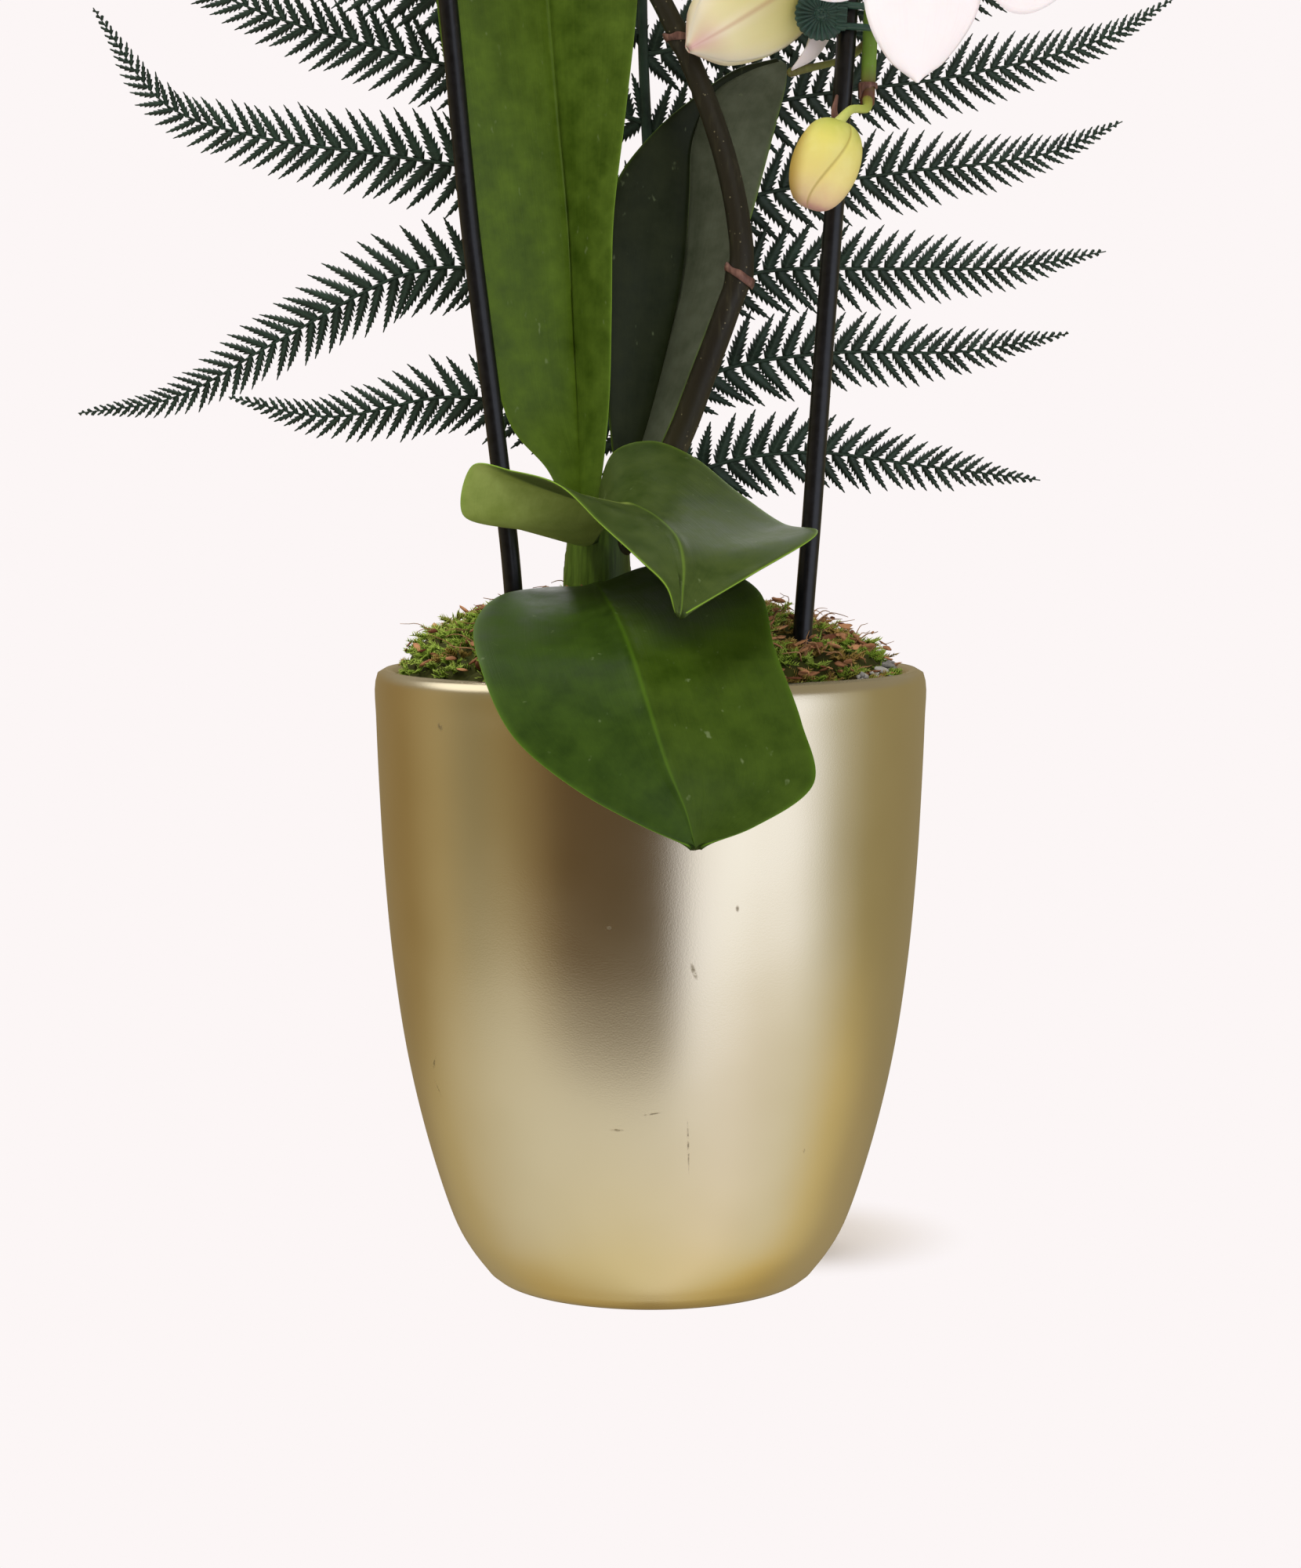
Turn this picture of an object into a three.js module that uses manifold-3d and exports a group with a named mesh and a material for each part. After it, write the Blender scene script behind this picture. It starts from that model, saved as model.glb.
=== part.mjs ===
// A moth orchid in a gold-coloured pot, with a fern frond behind it and its flower stem
// trained over a wire hoop. Millimetres, +Z up. The origin is the middle of the pot's flat foot,
// and the side that is looked at faces -Y.
import * as THREE from 'three';
import { mergeVertices } from 'three/addons/utils/BufferGeometryUtils.js';
import Module from 'manifold-3d';

const wasm = await Module();
wasm.setup();

// ---------------------------------------------------------------- driving sizes
const POT_HEIGHT = 149.7;
const POT_RADIUS = 67;            // over the rolled lip
const POT_WALL = 5;
const FOOT_RADIUS = 37.6;
const MOUTH_RADIUS = 61.5;        // inside the lip
const GAP = 0.35;                 // air between pieces that touch
const GROW_POT_TOP = 136.5;
const CROWN = { x: -13, y: 5, halfX: 9, halfY: 8, foot: 118, top: 188 };
const WIRE_RADIUS = 2.3;
const LEAF_THICKNESS = 1.9;
const FROND_Y = 36;
const LEAFLET_THICKNESS = 0.7;
const PETAL_THICKNESS = 0.9;

// ---------------------------------------------------------------- colours
const finish = (color, roughness, metalness = 0) =>
  new THREE.MeshStandardMaterial({ color, roughness, metalness });
const GOLD = finish(0xc9b37a, 0.35, 0.9);
const CLEAR_PLASTIC = finish(0xb9bdb5, 0.4);
const BARK = finish(0x5a3a22, 0.95);
const MOSS = finish(0x5c7a2a, 1.0);
const LEAF_GREEN = finish(0x3c5a1c, 0.45);
const CROWN_GREEN = finish(0x5d6a2c, 0.6);
const STEM_GREEN = finish(0x3b3d22, 0.6);
const WIRE_BLACK = finish(0x101012, 0.4);
const CLIP_TEAL = finish(0x1e5048, 0.45);
const PETAL_WHITE = finish(0xf2ebe8, 0.6);
const LIP_YELLOW = finish(0xd8b84a, 0.6);
const BUD_GREEN = finish(0xd7cd6e, 0.55);
const FERN_GREEN = finish(0x26372c, 0.7);

// ---------------------------------------------------------------- closed meshes, joins and cuts
const vec = (p) => new THREE.Vector3(...p);

// Merges the vertices of a closed mesh, drops flat triangles and turns its faces outwards.
function closed(source) {
  const bare = source.clone();
  bare.deleteAttribute('normal');
  bare.deleteAttribute('uv');
  const merged = mergeVertices(bare, 1e-4);
  const at = merged.attributes.position;
  const corners = [];
  const [a, b, c] = [new THREE.Vector3(), new THREE.Vector3(), new THREE.Vector3()];
  let volume = 0;
  for (let i = 0; i < merged.index.count; i += 3) {
    const [p, q, r] = [0, 1, 2].map((k) => merged.index.getX(i + k));
    if (p === q || q === r || r === p) continue;
    a.fromBufferAttribute(at, p);
    b.fromBufferAttribute(at, q);
    c.fromBufferAttribute(at, r);
    volume += a.dot(b.cross(c));
    corners.push([p, q, r]);
  }
  if (volume < 0) corners.forEach((corner) => corner.reverse());
  merged.setIndex(corners.flat());
  return merged;
}

function toSolid(geometry) {
  const mesh = closed(geometry);
  return new wasm.Manifold(new wasm.Mesh({
    numProp: 3,
    vertProperties: new Float32Array(mesh.attributes.position.array),
    triVerts: new Uint32Array(mesh.index.array),
  }));
}

function toGeometry(solid) {
  const mesh = solid.getMesh();
  const geometry = new THREE.BufferGeometry();
  geometry.setAttribute('position', new THREE.BufferAttribute(mesh.vertProperties, 3));
  geometry.setIndex(new THREE.BufferAttribute(mesh.triVerts, 1));
  return geometry;
}

const fuse = (geometries) => toGeometry(geometries.map(toSolid).reduce((sum, next) => sum.add(next)));
const cut = (geometry, tools) =>
  toGeometry(tools.map(toSolid).reduce((rest, tool) => rest.subtract(tool), toSolid(geometry)));

// Moves every vertex of a geometry with a function of its position.
function bend(geometry, place) {
  const at = geometry.attributes.position;
  const p = new THREE.Vector3();
  for (let i = 0; i < at.count; i += 1) {
    p.fromBufferAttribute(at, i);
    const moved = place(p, i);
    at.setXYZ(i, moved.x, moved.y, moved.z);
  }
  return geometry;
}

// Turns an open sheet into a closed one of a given thickness, with the same triangles on both faces.
function thicken(sheet, thickness) {
  sheet.computeVertexNormals();
  const { position, normal } = sheet.attributes;
  const count = position.count;
  const points = new Float32Array(count * 6);
  for (let i = 0; i < count; i += 1) {
    const half = (typeof thickness === 'function' ? thickness(i) : thickness) / 2;
    for (let k = 0; k < 3; k += 1) {
      const middle = position.array[i * 3 + k];
      const offset = normal.array[i * 3 + k] * half;
      points[i * 3 + k] = middle + offset;
      points[(count + i) * 3 + k] = middle - offset;
    }
  }
  const faces = [];
  const edges = new Map();
  for (let i = 0; i < sheet.index.count; i += 3) {
    const corner = [0, 1, 2].map((k) => sheet.index.getX(i + k));
    faces.push(corner[0], corner[1], corner[2], corner[0] + count, corner[2] + count, corner[1] + count);
    corner.forEach((from, k) => edges.set(`${from},${corner[(k + 1) % 3]}`, [from, corner[(k + 1) % 3]]));
  }
  edges.forEach(([from, to]) => {
    if (edges.has(`${to},${from}`)) return;
    faces.push(to, from, from + count, to, from + count, to + count);
  });
  const solid = new THREE.BufferGeometry();
  solid.setAttribute('position', new THREE.BufferAttribute(points, 3));
  solid.setIndex(faces);
  return solid;
}

// A round rod along a curve between two shares of its length, its radius given by the share.
// Its section is carried along without twist.
function rod(curve, radiusAt, sides, steps, from = 0, to = 1) {
  const rings = [];
  const across = new THREE.Vector3(0.31, 0.95, 0.07);
  for (let k = 0; k <= steps; k += 1) {
    const share = from + ((to - from) * k) / steps;
    const along = curve.getTangentAt(share).multiplyScalar(Math.sign(to - from));
    across.addScaledVector(along, -across.dot(along)).normalize();
    const centre = curve.getPointAt(share);
    rings.push({ centre, across: across.clone(), up: along.cross(across), radius: radiusAt(share) });
  }
  return bend(new THREE.CylinderGeometry(1, 1, 1, sides, steps), (p) => {
    const ring = rings[Math.round((p.y + 0.5) * steps)];
    return ring.centre.clone()
      .addScaledVector(ring.across, p.x * ring.radius)
      .addScaledVector(ring.up, -p.z * ring.radius);
  });
}

const through = (points) => new THREE.CatmullRomCurve3(points.map(vec));

// ---------------------------------------------------------------- the scene graph
const plant = new THREE.Group();

function add(name, geometry, material, parent = plant) {
  const mesh = new THREE.Mesh(closed(geometry), material);
  mesh.name = name;
  parent.add(mesh);
  return mesh;
}

// ---------------------------------------------------------------- pot, liner and bark
const POT_SIDES = 32;

// Outside of the pot from foot to lip as [radius, height], then back down the inside.
const potOutside = [
  [0, 0], [FOOT_RADIUS, 0], [40.3, 1.7], [44.4, 7], [48, 13.4], [53.9, 31],
  [59.4, 54], [62.9, 77.5], [65, 101], [66.2, 124], [66.7, 138], [POT_RADIUS, 145.7],
  [66.2, 148.9], [64.2, POT_HEIGHT], [62.4, 149.1],
];
const potInside = [
  [MOUTH_RADIUS, 146.2], [MOUTH_RADIUS, 134], [65 - POT_WALL, 101], [59.4 - POT_WALL, 54],
  [53.9 - POT_WALL, 31], [47.9 - POT_WALL, 14], [37.5, 6], [0, 6],
];
const lathe = (profile, sides) =>
  new THREE.LatheGeometry(profile.map(([r, z]) => new THREE.Vector2(r, z)), sides).rotateX(Math.PI / 2);
add('pot', lathe([...potOutside, ...potInside], POT_SIDES), GOLD);

// The thin grow pot tapers from its rim band down to its foot.
const LINER = { foot: 6.4, footRadius: 36.5, rimRadius: 57.5, wall: 1.2, rimWidth: 3, bandFoot: 128 };
const linerAt = (z) => {
  const widening = LINER.rimRadius - LINER.rimWidth - LINER.footRadius;
  return LINER.footRadius + (widening * (z - LINER.foot)) / (GROW_POT_TOP - LINER.foot);
};
add('grow_pot', lathe([
  [0, LINER.foot], [LINER.footRadius, LINER.foot], [linerAt(LINER.bandFoot), LINER.bandFoot],
  [LINER.rimRadius, LINER.bandFoot + 1], [LINER.rimRadius, GROW_POT_TOP],
  [linerAt(GROW_POT_TOP) - LINER.wall, GROW_POT_TOP],
  [linerAt(LINER.bandFoot) - LINER.wall, LINER.bandFoot - 1],
  [LINER.footRadius - LINER.wall, LINER.foot + LINER.wall], [0, LINER.foot + LINER.wall],
], 28), CLEAR_PLASTIC);

// ---------------------------------------------------------------- wire hoop
// One bent round the plant from leg to leg, made of two wires that meet in a sleeve at the top.
const HOOP_TOP = [-1.2, -5, 446];
const hoop = through([
  [-29.5, 3, 70], [-32.4, 3, 150], [-34, 2.5, 175], [-37.3, 2, 205], [-41, 2, 235], [-43.6, 2, 257],
  [-48.3, 2, 308], [-52.3, 1, 350], [-53.4, 0.5, 380], [-49.5, -0.5, 409], [-38, -2, 430],
  [-21, -3.5, 442.5], [-7, -4.6, 445.9], HOOP_TOP, [4.6, -5.3, 445.9], [19, -5.9, 442.5],
  [36, -6.7, 430], [47.5, -8, 409], [51, -9.5, 380], [50, -11, 350], [47.2, -12.5, 318],
  [45.8, -13.5, 296], [40.2, -17, 216], [38.1, -19, 186], [35.9, -20, 157], [31.5, -21, 70],
]);
hoop.arcLengthDivisions = 2000;
// Shares of the hoop's length at a height of its left or right leg, and at its top.
const HOOP_SHARES = Array.from({ length: 2001 }, (_, k) => k / 2000);
const shareAt = (test) => HOOP_SHARES.find((share) => test(hoop.getPointAt(share)));
const TOP_SHARE = shareAt((p) => p.x > HOOP_TOP[0]);
const leftLegEnd = shareAt((p) => p.z > 350);
const rightLegStart = shareAt((p) => p.x > 40 && p.z < 350);
const JOINT_GAP = 0.0006;
const WIRE_SIDES = 6;
const wire = (radius, from, bendAt, to) => fuse([
  rod(hoop, () => radius, WIRE_SIDES, 9, from, bendAt),
  rod(hoop, () => radius, WIRE_SIDES, 14, bendAt, to),
]);
add('hoop_left', wire(WIRE_RADIUS, 0, leftLegEnd, TOP_SHARE - JOINT_GAP), WIRE_BLACK);
add('hoop_right', wire(WIRE_RADIUS, 1, rightLegStart, TOP_SHARE + JOINT_GAP), WIRE_BLACK);
// Crimped sleeve over the joint of the two wires.
const SLEEVE = { length: 8, wall: 0.8, bore: WIRE_RADIUS + 0.4 };
const UP = new THREE.Vector3(0, 0, 1);
const sleeveTurn = new THREE.Quaternion().setFromUnitVectors(UP, hoop.getTangentAt(TOP_SHARE));
const sleeveOuter = SLEEVE.bore + SLEEVE.wall;
const sleeveEnd = SLEEVE.length / 2;
add('hoop_sleeve', lathe([
  [SLEEVE.bore, -sleeveEnd], [sleeveOuter, -sleeveEnd], [sleeveOuter, sleeveEnd],
  [SLEEVE.bore, sleeveEnd], [SLEEVE.bore, -sleeveEnd],
], 12).applyQuaternion(sleeveTurn).translate(...hoop.getPointAt(TOP_SHARE).toArray()), WIRE_BLACK);

// ---------------------------------------------------------------- crown
const crownShape = (grow) => bend(new THREE.CylinderGeometry(1, 1, 1, 14, 7), (p) => {
  const v = p.y + 0.5;
  const swell = 0.72 + 0.28 * Math.sin(Math.PI * Math.min(1, 0.15 + 0.8 * v));
  const fold = 1 + 0.05 * Math.cos(2 * Math.atan2(p.x, p.z)) * v;
  const reach = Math.hypot(p.x, p.z) > 0.5 ? 1 : 0;
  return new THREE.Vector3(
    CROWN.x + p.x * (CROWN.halfX * swell * fold + grow * reach),
    CROWN.y - p.z * (CROWN.halfY * swell * fold + grow * reach),
    CROWN.foot - grow + v * (CROWN.top - CROWN.foot + 2 * grow),
  );
});
add('orchid_crown', crownShape(0), CROWN_GREEN);

// ---------------------------------------------------------------- strap leaves
// Each row across a leaf is [left edge, midrib, right edge], from the crown to the tip.
const LEAVES = {
  leaf_upright_left: [
    [[-19, 5, 183], [-17, 8, 183], [-14, 5.5, 183]],
    [[-24.8, 6.5, 197], [-17.2, 12, 199], [-11.4, 6, 200]],
    [[-34, 8, 208], [-17.8, 16, 213], [-10, 7, 216]],
    [[-39.6, 8, 229.5], [-18.8, 18, 232], [-9.5, 7.5, 235]],
    [[-44.2, 8, 256], [-20, 19, 257], [-9, 8, 258]],
    [[-47.9, 8, 282], [-22.5, 20, 283], [-6.2, 8, 282]],
    [[-51.5, 9, 309], [-25, 21, 311], [-3.2, 9, 310]],
    [[-53, 11, 331], [-26.6, 22, 332.5], [-2.5, 12, 331]],
    [[-49, 15, 347], [-27.7, 23, 347.5], [-6.5, 16, 346.5]],
    [[-39, 19, 357], [-28.4, 23.5, 356], [-18, 20, 356.5]],
    [[-30.5, 23, 361], [-29.5, 24, 361.3], [-28.5, 23, 361]],
  ],
  leaf_upright_right: [
    [[-10, 8, 183], [-8, 10.5, 183], [-6, 8.5, 183]],
    [[-9, 10.5, 196], [-4.5, 15, 196], [-0.5, 10.5, 197]],
    [[-10.5, 13, 213], [0.2, 18, 211], [8, 11, 210]],
    [[-11.5, 15, 235], [3.7, 21, 228], [15.2, 11, 231]],
    [[-11.5, 17, 253], [7.2, 23, 246], [20.4, 12, 245]],
    [[-8.5, 20, 268], [10.7, 25, 263], [24.7, 14, 259.5]],
    [[1.3, 23, 281], [16.5, 26.5, 277], [28.3, 17, 272.5]],
    [[12, 25, 290], [22.6, 27.5, 287], [31.2, 20, 283.5]],
    [[21.7, 27, 296.5], [28, 28, 293.5], [33.4, 24, 292]],
    [[31, 28, 299], [32.3, 28.3, 298], [33.8, 27.5, 297]],
  ],
  leaf_arching: [
    [[-16.5, -1.5, 179.5], [-14.5, -1, 180.3], [-12.5, -1.5, 180.3]],
    [[-19.5, -9, 180.2], [-13.6, -7, 181.6], [-12.2, -4, 185]],
    [[-31.3, -20, 183.7], [-11, -13, 184.7], [-12, -3, 194]],
    [[-43.8, -29, 187.2], [-8.5, -19, 187.4], [-8.6, -2.5, 202]],
    [[-41.3, -33, 198.4], [-5.9, -25, 188.6], [0, -2.5, 204.4]],
    [[-32, -40, 197.3], [-2, -35, 187.4], [9.6, -6, 201]],
    [[-20.7, -50, 194], [2.3, -46, 184.7], [20.4, -13, 192.5]],
    [[-11.2, -58, 185.4], [5.8, -57, 180.7], [31, -26, 185]],
    [[-2.4, -68, 177.7], [6.9, -66, 175.3], [38.3, -42, 183.3]],
    [[3.6, -73, 171.8], [6.6, -71.5, 170.4], [23, -62, 174.5]],
    [[5.4, -75, 166.2], [6.4, -75.4, 165.4], [7.8, -74.8, 166.2]],
  ],
  leaf_drooping: [
    [[-17, -1.5, 169], [-13.5, -1, 169.5], [-10, -1.5, 170.5]],
    [[-25.8, -18, 169.6], [-12.4, -20, 169.3], [0, -16, 174.8]],
    [[-34.7, -28, 168.4], [-10.4, -33, 167], [14, -26, 175]],
    [[-40, -46, 163], [-7.3, -50, 162.6], [24.7, -40, 170]],
    [[-37.7, -68, 154], [-4, -68, 155.5], [27.8, -62, 157.5]],
    [[-29.6, -84, 139.6], [-0.5, -80, 145.5], [33, -79, 142.5]],
    [[-16.2, -90, 129], [3.6, -86, 133.3], [35.2, -88, 130]],
    [[-0.5, -91, 120.5], [7.6, -88, 123.9], [22.4, -91, 121]],
    [[8.6, -90, 116.6], [9.8, -89.5, 115.7], [11, -90, 116.7]],
  ],
};

// A leaf is a sheet through its rows, folded along the midrib and fleshy in the middle.
function leafBlade(rows, across, along) {
  const [left, middle, right] = [0, 1, 2].map((k) => through(rows.map((row) => row[k])));
  const share = new THREE.PlaneGeometry(1, 1, across, along);
  const uv = share.attributes.uv.clone();
  const sheet = bend(share, (p) => {
    const v = p.y + 0.5;
    const u = p.x * 2;
    const side = (u < 0 ? left : right).getPoint(v);
    return middle.getPoint(v).lerp(side, Math.abs(u));
  });
  return thicken(sheet, (i) => LEAF_THICKNESS * (1 - 0.45 * Math.abs(uv.getX(i) * 2 - 1)));
}
Object.entries(LEAVES).forEach(([name, rows]) => {
  add(name, cut(leafBlade(rows, 6, 13), [crownShape(GAP)]), LEAF_GREEN);
});

// ---------------------------------------------------------------- fern frond
// Midribs of the lowest pinnae as [x, z], from the rachis to the tip.
const rachisX = (z) => 7 - 9 * Math.min(1, (z - 150) / 160) + 4 * Math.max(0, (z - 310) / 160);
const LOW_PINNAE = [
  [[3, 192], [17, 199], [40, 202], [70, 198.5], [99, 195]],
  [[4, 203], [-20, 211], [-50, 216], [-82, 211], [-107, 216]],
  [[2, 215], [19, 223], [45, 227], [80, 227.5], [106, 232]],
  [[2, 232], [-24, 244], [-57, 248], [-93, 231], [-121, 216], [-146, 212]],
  [[1, 238], [27, 247], [60, 248], [92, 248.5], [115, 252.5]],
  [[0, 260], [-28, 270], [-65, 276], [-99, 281], [-122, 289], [-140, 313]],
  [[0, 259], [29, 267], [62, 272], [100, 277], [119, 285]],
  [[-1, 284], [-30, 294], [-65, 302], [-103, 314], [-134, 331]],
  [[-1, 281], [35, 290], [78, 296], [113, 305], [131, 315]],
];
// Higher up each pair starts a little closer to the last, and is shorter and steeper.
const HIGH_PAIRS = 9;
const TOP_OF_FROND = 474;
const highPinna = (pair, side) => {
  const share = pair / HIGH_PAIRS;
  const z = 306 + (TOP_OF_FROND - 314) * (1 - (1 - share) ** 1.35) - (side < 0 ? 0 : 5);
  const length = 132 * (1 - share) ** 0.85 + 6;
  const rise = 0.22 + 0.5 * share;
  return [0, 0.35, 0.7, 1].map((t) => [
    rachisX(z) + side * length * t * (1 - 0.12 * t * rise),
    z + length * t * rise * (0.75 + 0.35 * t),
  ]);
};

// One pinna: a thin blade cut to the rib into leaflets that lean towards its tip.
const LEAFLET_PITCH = 12;
const LEAFLET_LEAN = (50 * Math.PI) / 180;
const RIB_HALF = 0.6;
// Half the width of a pinna at a share of its length.
const pinnaHalfWidth = (share, length) => {
  const widest = Math.min(13, 3.5 + length * 0.077);
  return widest * (1 - share ** 2.4) * Math.min(1, 0.75 + share) + 1.2 * (1 - share) + 0.4;
};
function pinna(points, layer) {
  const midrib = through(points.map(([x, z]) => [x, 0, z]));
  const length = midrib.getLength();
  const leaflets = Math.round(length / LEAFLET_PITCH);
  const pitch = (length - 3) / leaflets;
  // From a place along the rib and a distance out from it to a point of the frond's plane.
  const onFrond = (along, out) => {
    const share = Math.min(1, along / length);
    const [rib, heading] = [midrib.getPointAt(share), midrib.getTangentAt(share)];
    const past = along - share * length;
    return new THREE.Vector2(
      rib.x + heading.x * past - heading.z * out,
      rib.z + heading.z * past + heading.x * out,
    );
  };
  const edge = (side) => Array.from({ length: leaflets }, (_, k) => {
    const share = (k + 0.5) / leaflets;
    const halfWidth = pinnaHalfWidth(share, length);
    const tip = (k + 0.35) * pitch + halfWidth / Math.tan(LEAFLET_LEAN);
    return [onFrond(k * pitch, side * RIB_HALF), onFrond(tip, side * halfWidth)];
  }).flat();
  const outline = [...edge(-1), onFrond(length, -0.3), onFrond(length, 0.3), ...edge(1).reverse()];
  const start = points[0][0];
  const sheet = bend(new THREE.ShapeGeometry(new THREE.Shape(outline)), (p) => {
    const away = Math.abs(p.x - start);
    return new THREE.Vector3(p.x, FROND_Y + layer * Math.min(1, away / 3) + 5 * (away / 140) ** 2, p.y);
  });
  return thicken(sheet, LEAFLET_THICKNESS);
}

const RACHIS_HEIGHTS = [150, 230, 310, 400, 470];
const frondRachis = through([
  [8, FROND_Y, 78], ...RACHIS_HEIGHTS.map((z) => [rachisX(z), FROND_Y, z]),
]);
const rachisRod = (grow) => rod(frondRachis, (t) => 2.1 - 1.4 * t + grow, 5, 9);
const highPinnae = Array.from({ length: 2 * HIGH_PAIRS }, (_, k) => highPinna(k >> 1, k % 2 ? 1 : -1));
const LAYER_STEP = 0.9;            // neighbours along one side lie in two layers
const layerOf = (k) => ((k >> 1) % 2 ? LAYER_STEP : -LAYER_STEP);
const pinnae = [
  ...LOW_PINNAE.map((points, k) => pinna(points, layerOf(k))),
  ...highPinnae.map((points, k) => pinna(points, layerOf(k + 1))),
];
add('fern_frond', fuse([rachisRod(0), ...pinnae]), FERN_GREEN);

// ---------------------------------------------------------------- blooms
// A bloom is made facing -Y round its middle; sepals lie behind the two wide petals.
const CORE_RADIUS = 4.5;
const TEPAL_LIFT = 3.5;            // how far the tips lie back
// Half widths as a share of the widest: a sepal narrows to its tip, a petal is round.
const sepalShare = (v) =>
  Math.min(1, 0.08 + 2 * v) ** 0.8 * Math.sin((Math.PI / 2) * Math.min(1, (1.005 - v) / 0.5)) ** 0.75;
const petalShare = (v) => Math.sin(Math.PI * (0.01 + 0.88 * v ** 1.2)) ** 0.85;
const SEPAL = { length: 44, width: 30, layer: 2.1, across: 2, shareAt: sepalShare };
const PETAL = { length: 43, width: 44, layer: -1.7, across: 3, shareAt: petalShare };
const tepal = ({ length, width, layer, across: columns, shareAt: halfShare }, degrees) => {
  const turn = (degrees * Math.PI) / 180;
  const [outX, outZ] = [Math.sin(turn), Math.cos(turn)];
  const sheet = bend(new THREE.PlaneGeometry(1, 1, columns, 4), (p) => {
    const v = p.y + 0.5;
    const out = 1.5 + v * (length - 1.5);
    const across = p.x * width * halfShare(v);
    const bowed = out - (v > 0.9 ? 12 * p.x * p.x : 0);
    return new THREE.Vector3(
      outX * bowed + outZ * across,
      layer + TEPAL_LIFT * v * v + 1.6 * Math.abs(p.x * 2) ** 2 * v,
      outZ * bowed - outX * across,
    );
  });
  return thicken(sheet, PETAL_THICKNESS);
};
const openBloom = () => fuse([
  new THREE.CylinderGeometry(CORE_RADIUS, CORE_RADIUS * 0.6, CORE_RADIUS * 2, 6),
  rod(through([[0, -2, 1], [0, -7, 2], [0, -10, 0.6]]), (t) => 2.6 - 0.5 * t, 6, 2),
  tepal(SEPAL, 0), tepal(SEPAL, 140), tepal(SEPAL, 220), tepal(PETAL, 76), tepal(PETAL, 284),
]);
// The lip: one sheet that comes forward under the column and turns down, with two side lobes
// that curl up. Its outline is [half width, distance from the root].
const LIP_OUTLINE = [
  [1.6, 0], [2.4, 2.5], [8, 2], [9.6, 7], [5.8, 9.5], [2.5, 10.5], [5.8, 15], [3.2, 19.5],
];
const lip = () => {
  const mirrored = LIP_OUTLINE.map(([x, s]) => [-x, s]).reverse();
  const outline = [...LIP_OUTLINE, ...mirrored].map(([x, s]) => new THREE.Vector2(x, s));
  return thicken(bend(new THREE.ShapeGeometry(new THREE.Shape(outline)), (p) => new THREE.Vector3(
    p.x,
    -CORE_RADIUS - 0.45 - 6.5 * (1 - Math.exp(-p.y / 4)) - 0.05 * p.x * p.x,
    -2.6 - 0.9 * Math.max(0, p.y - 3) + 0.055 * p.x * p.x,
  )), 1.1);
};

// Middle, turn to the right, nod forward and roll (degrees) of every open bloom, from the crown on.
const BLOOMS = [
  { at: [-64, -44, 360], turn: -16, nod: 4, roll: 8 },
  { at: [-78, -26, 409], turn: -8, nod: -4, roll: -12 },
  { at: [-47, -50, 446], turn: -8, nod: -4, roll: 5 },
  { at: [2, -26, 457], turn: 0, nod: -8, roll: -6 },
  { at: [50, -49.2, 443], turn: 10, nod: -6, roll: 10 },
  { at: [78, -26, 404], turn: 8, nod: -2, roll: 14 },
  { at: [62.5, -46, 328.5], turn: 22, nod: 0, roll: 180 },
];
const radians = (degrees) => (degrees * Math.PI) / 180;
const place = ({ at, turn, nod, roll }) => {
  const group = new THREE.Group();
  group.position.set(...at);
  group.rotation.set(radians(nod), radians(roll), radians(turn), 'ZXY');
  group.updateMatrixWorld();
  return group;
};
BLOOMS.forEach((bloom, k) => {
  const group = place(bloom);
  plant.add(group);
  add(`bloom_${k + 1}`, openBloom(), PETAL_WHITE, group);
  add(`lip_${k + 1}`, lip(), LIP_YELLOW, group);
});

// The half-open bloom: three sepals and a petal still close round its middle, and the other
// petal has already swung out and hangs free.
const CUP_SEPAL = { length: 39.7, width: 26.5, radius: 12.2, open: 0 };
const CUP_PETAL = { length: 37, width: 20, radius: 9.4, open: 0 };
const FREE_PETAL = { length: 27, width: 12.5, radius: 5.5, open: 36 };
const cupTepal = (degrees, { length, width, radius, open }) => {
  const sheet = bend(new THREE.PlaneGeometry(1, 1, 3, 4), (p) => {
    const v = p.y + 0.5;
    const belly = radius * Math.sin(Math.PI * (0.06 + 0.9 * v)) ** 0.6;
    const spread = (width / 2) * Math.sin(Math.PI * (0.05 + 0.88 * v)) ** 0.7;
    const angle = (p.x * 2 * spread) / radius;
    return new THREE.Vector3(belly * Math.sin(angle), belly * Math.cos(angle), v * length);
  });
  return thicken(sheet, PETAL_THICKNESS).rotateX(radians(-open)).rotateZ(radians(-degrees));
};
const HALF_OPEN = { at: [41.02, -2, 317.58], towards: [-0.809, -0.226, -0.542], frontSepal: 166.3 };
const halfOpen = new THREE.Group();
halfOpen.position.set(...HALF_OPEN.at);
halfOpen.quaternion.setFromUnitVectors(UP, vec(HALF_OPEN.towards).normalize());
halfOpen.updateMatrixWorld();
plant.add(halfOpen);
add('bloom_half_open', fuse([
  new THREE.SphereGeometry(4.6, 7, 5).translate(0, 0, 2.2),
  ...[0, 120, 240].map((angle) => cupTepal(HALF_OPEN.frontSepal + angle, CUP_SEPAL)),
  cupTepal(HALF_OPEN.frontSepal - 60, CUP_PETAL),
  cupTepal(HALF_OPEN.frontSepal + 72, FREE_PETAL),
]), PETAL_WHITE, halfOpen);

// The closed bud: three sepals that meet along seams.
const BUD = { at: [40.3, -28, 267.5], halfWidth: 8.4, halfLength: 10.6, lean: 18 };
add('bud', bend(new THREE.SphereGeometry(1, 12, 7), (p) => {
  const seam = 1 - 0.07 * Math.abs(Math.cos(1.5 * Math.atan2(p.z, p.x)));
  const taper = 1 - 0.16 * p.y;
  const reach = BUD.halfWidth * seam * taper;
  return new THREE.Vector3(p.x * reach, -p.z * reach * 0.94, p.y * BUD.halfLength);
}).rotateY(radians(BUD.lean)).translate(...BUD.at), BUD_GREEN);

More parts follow.
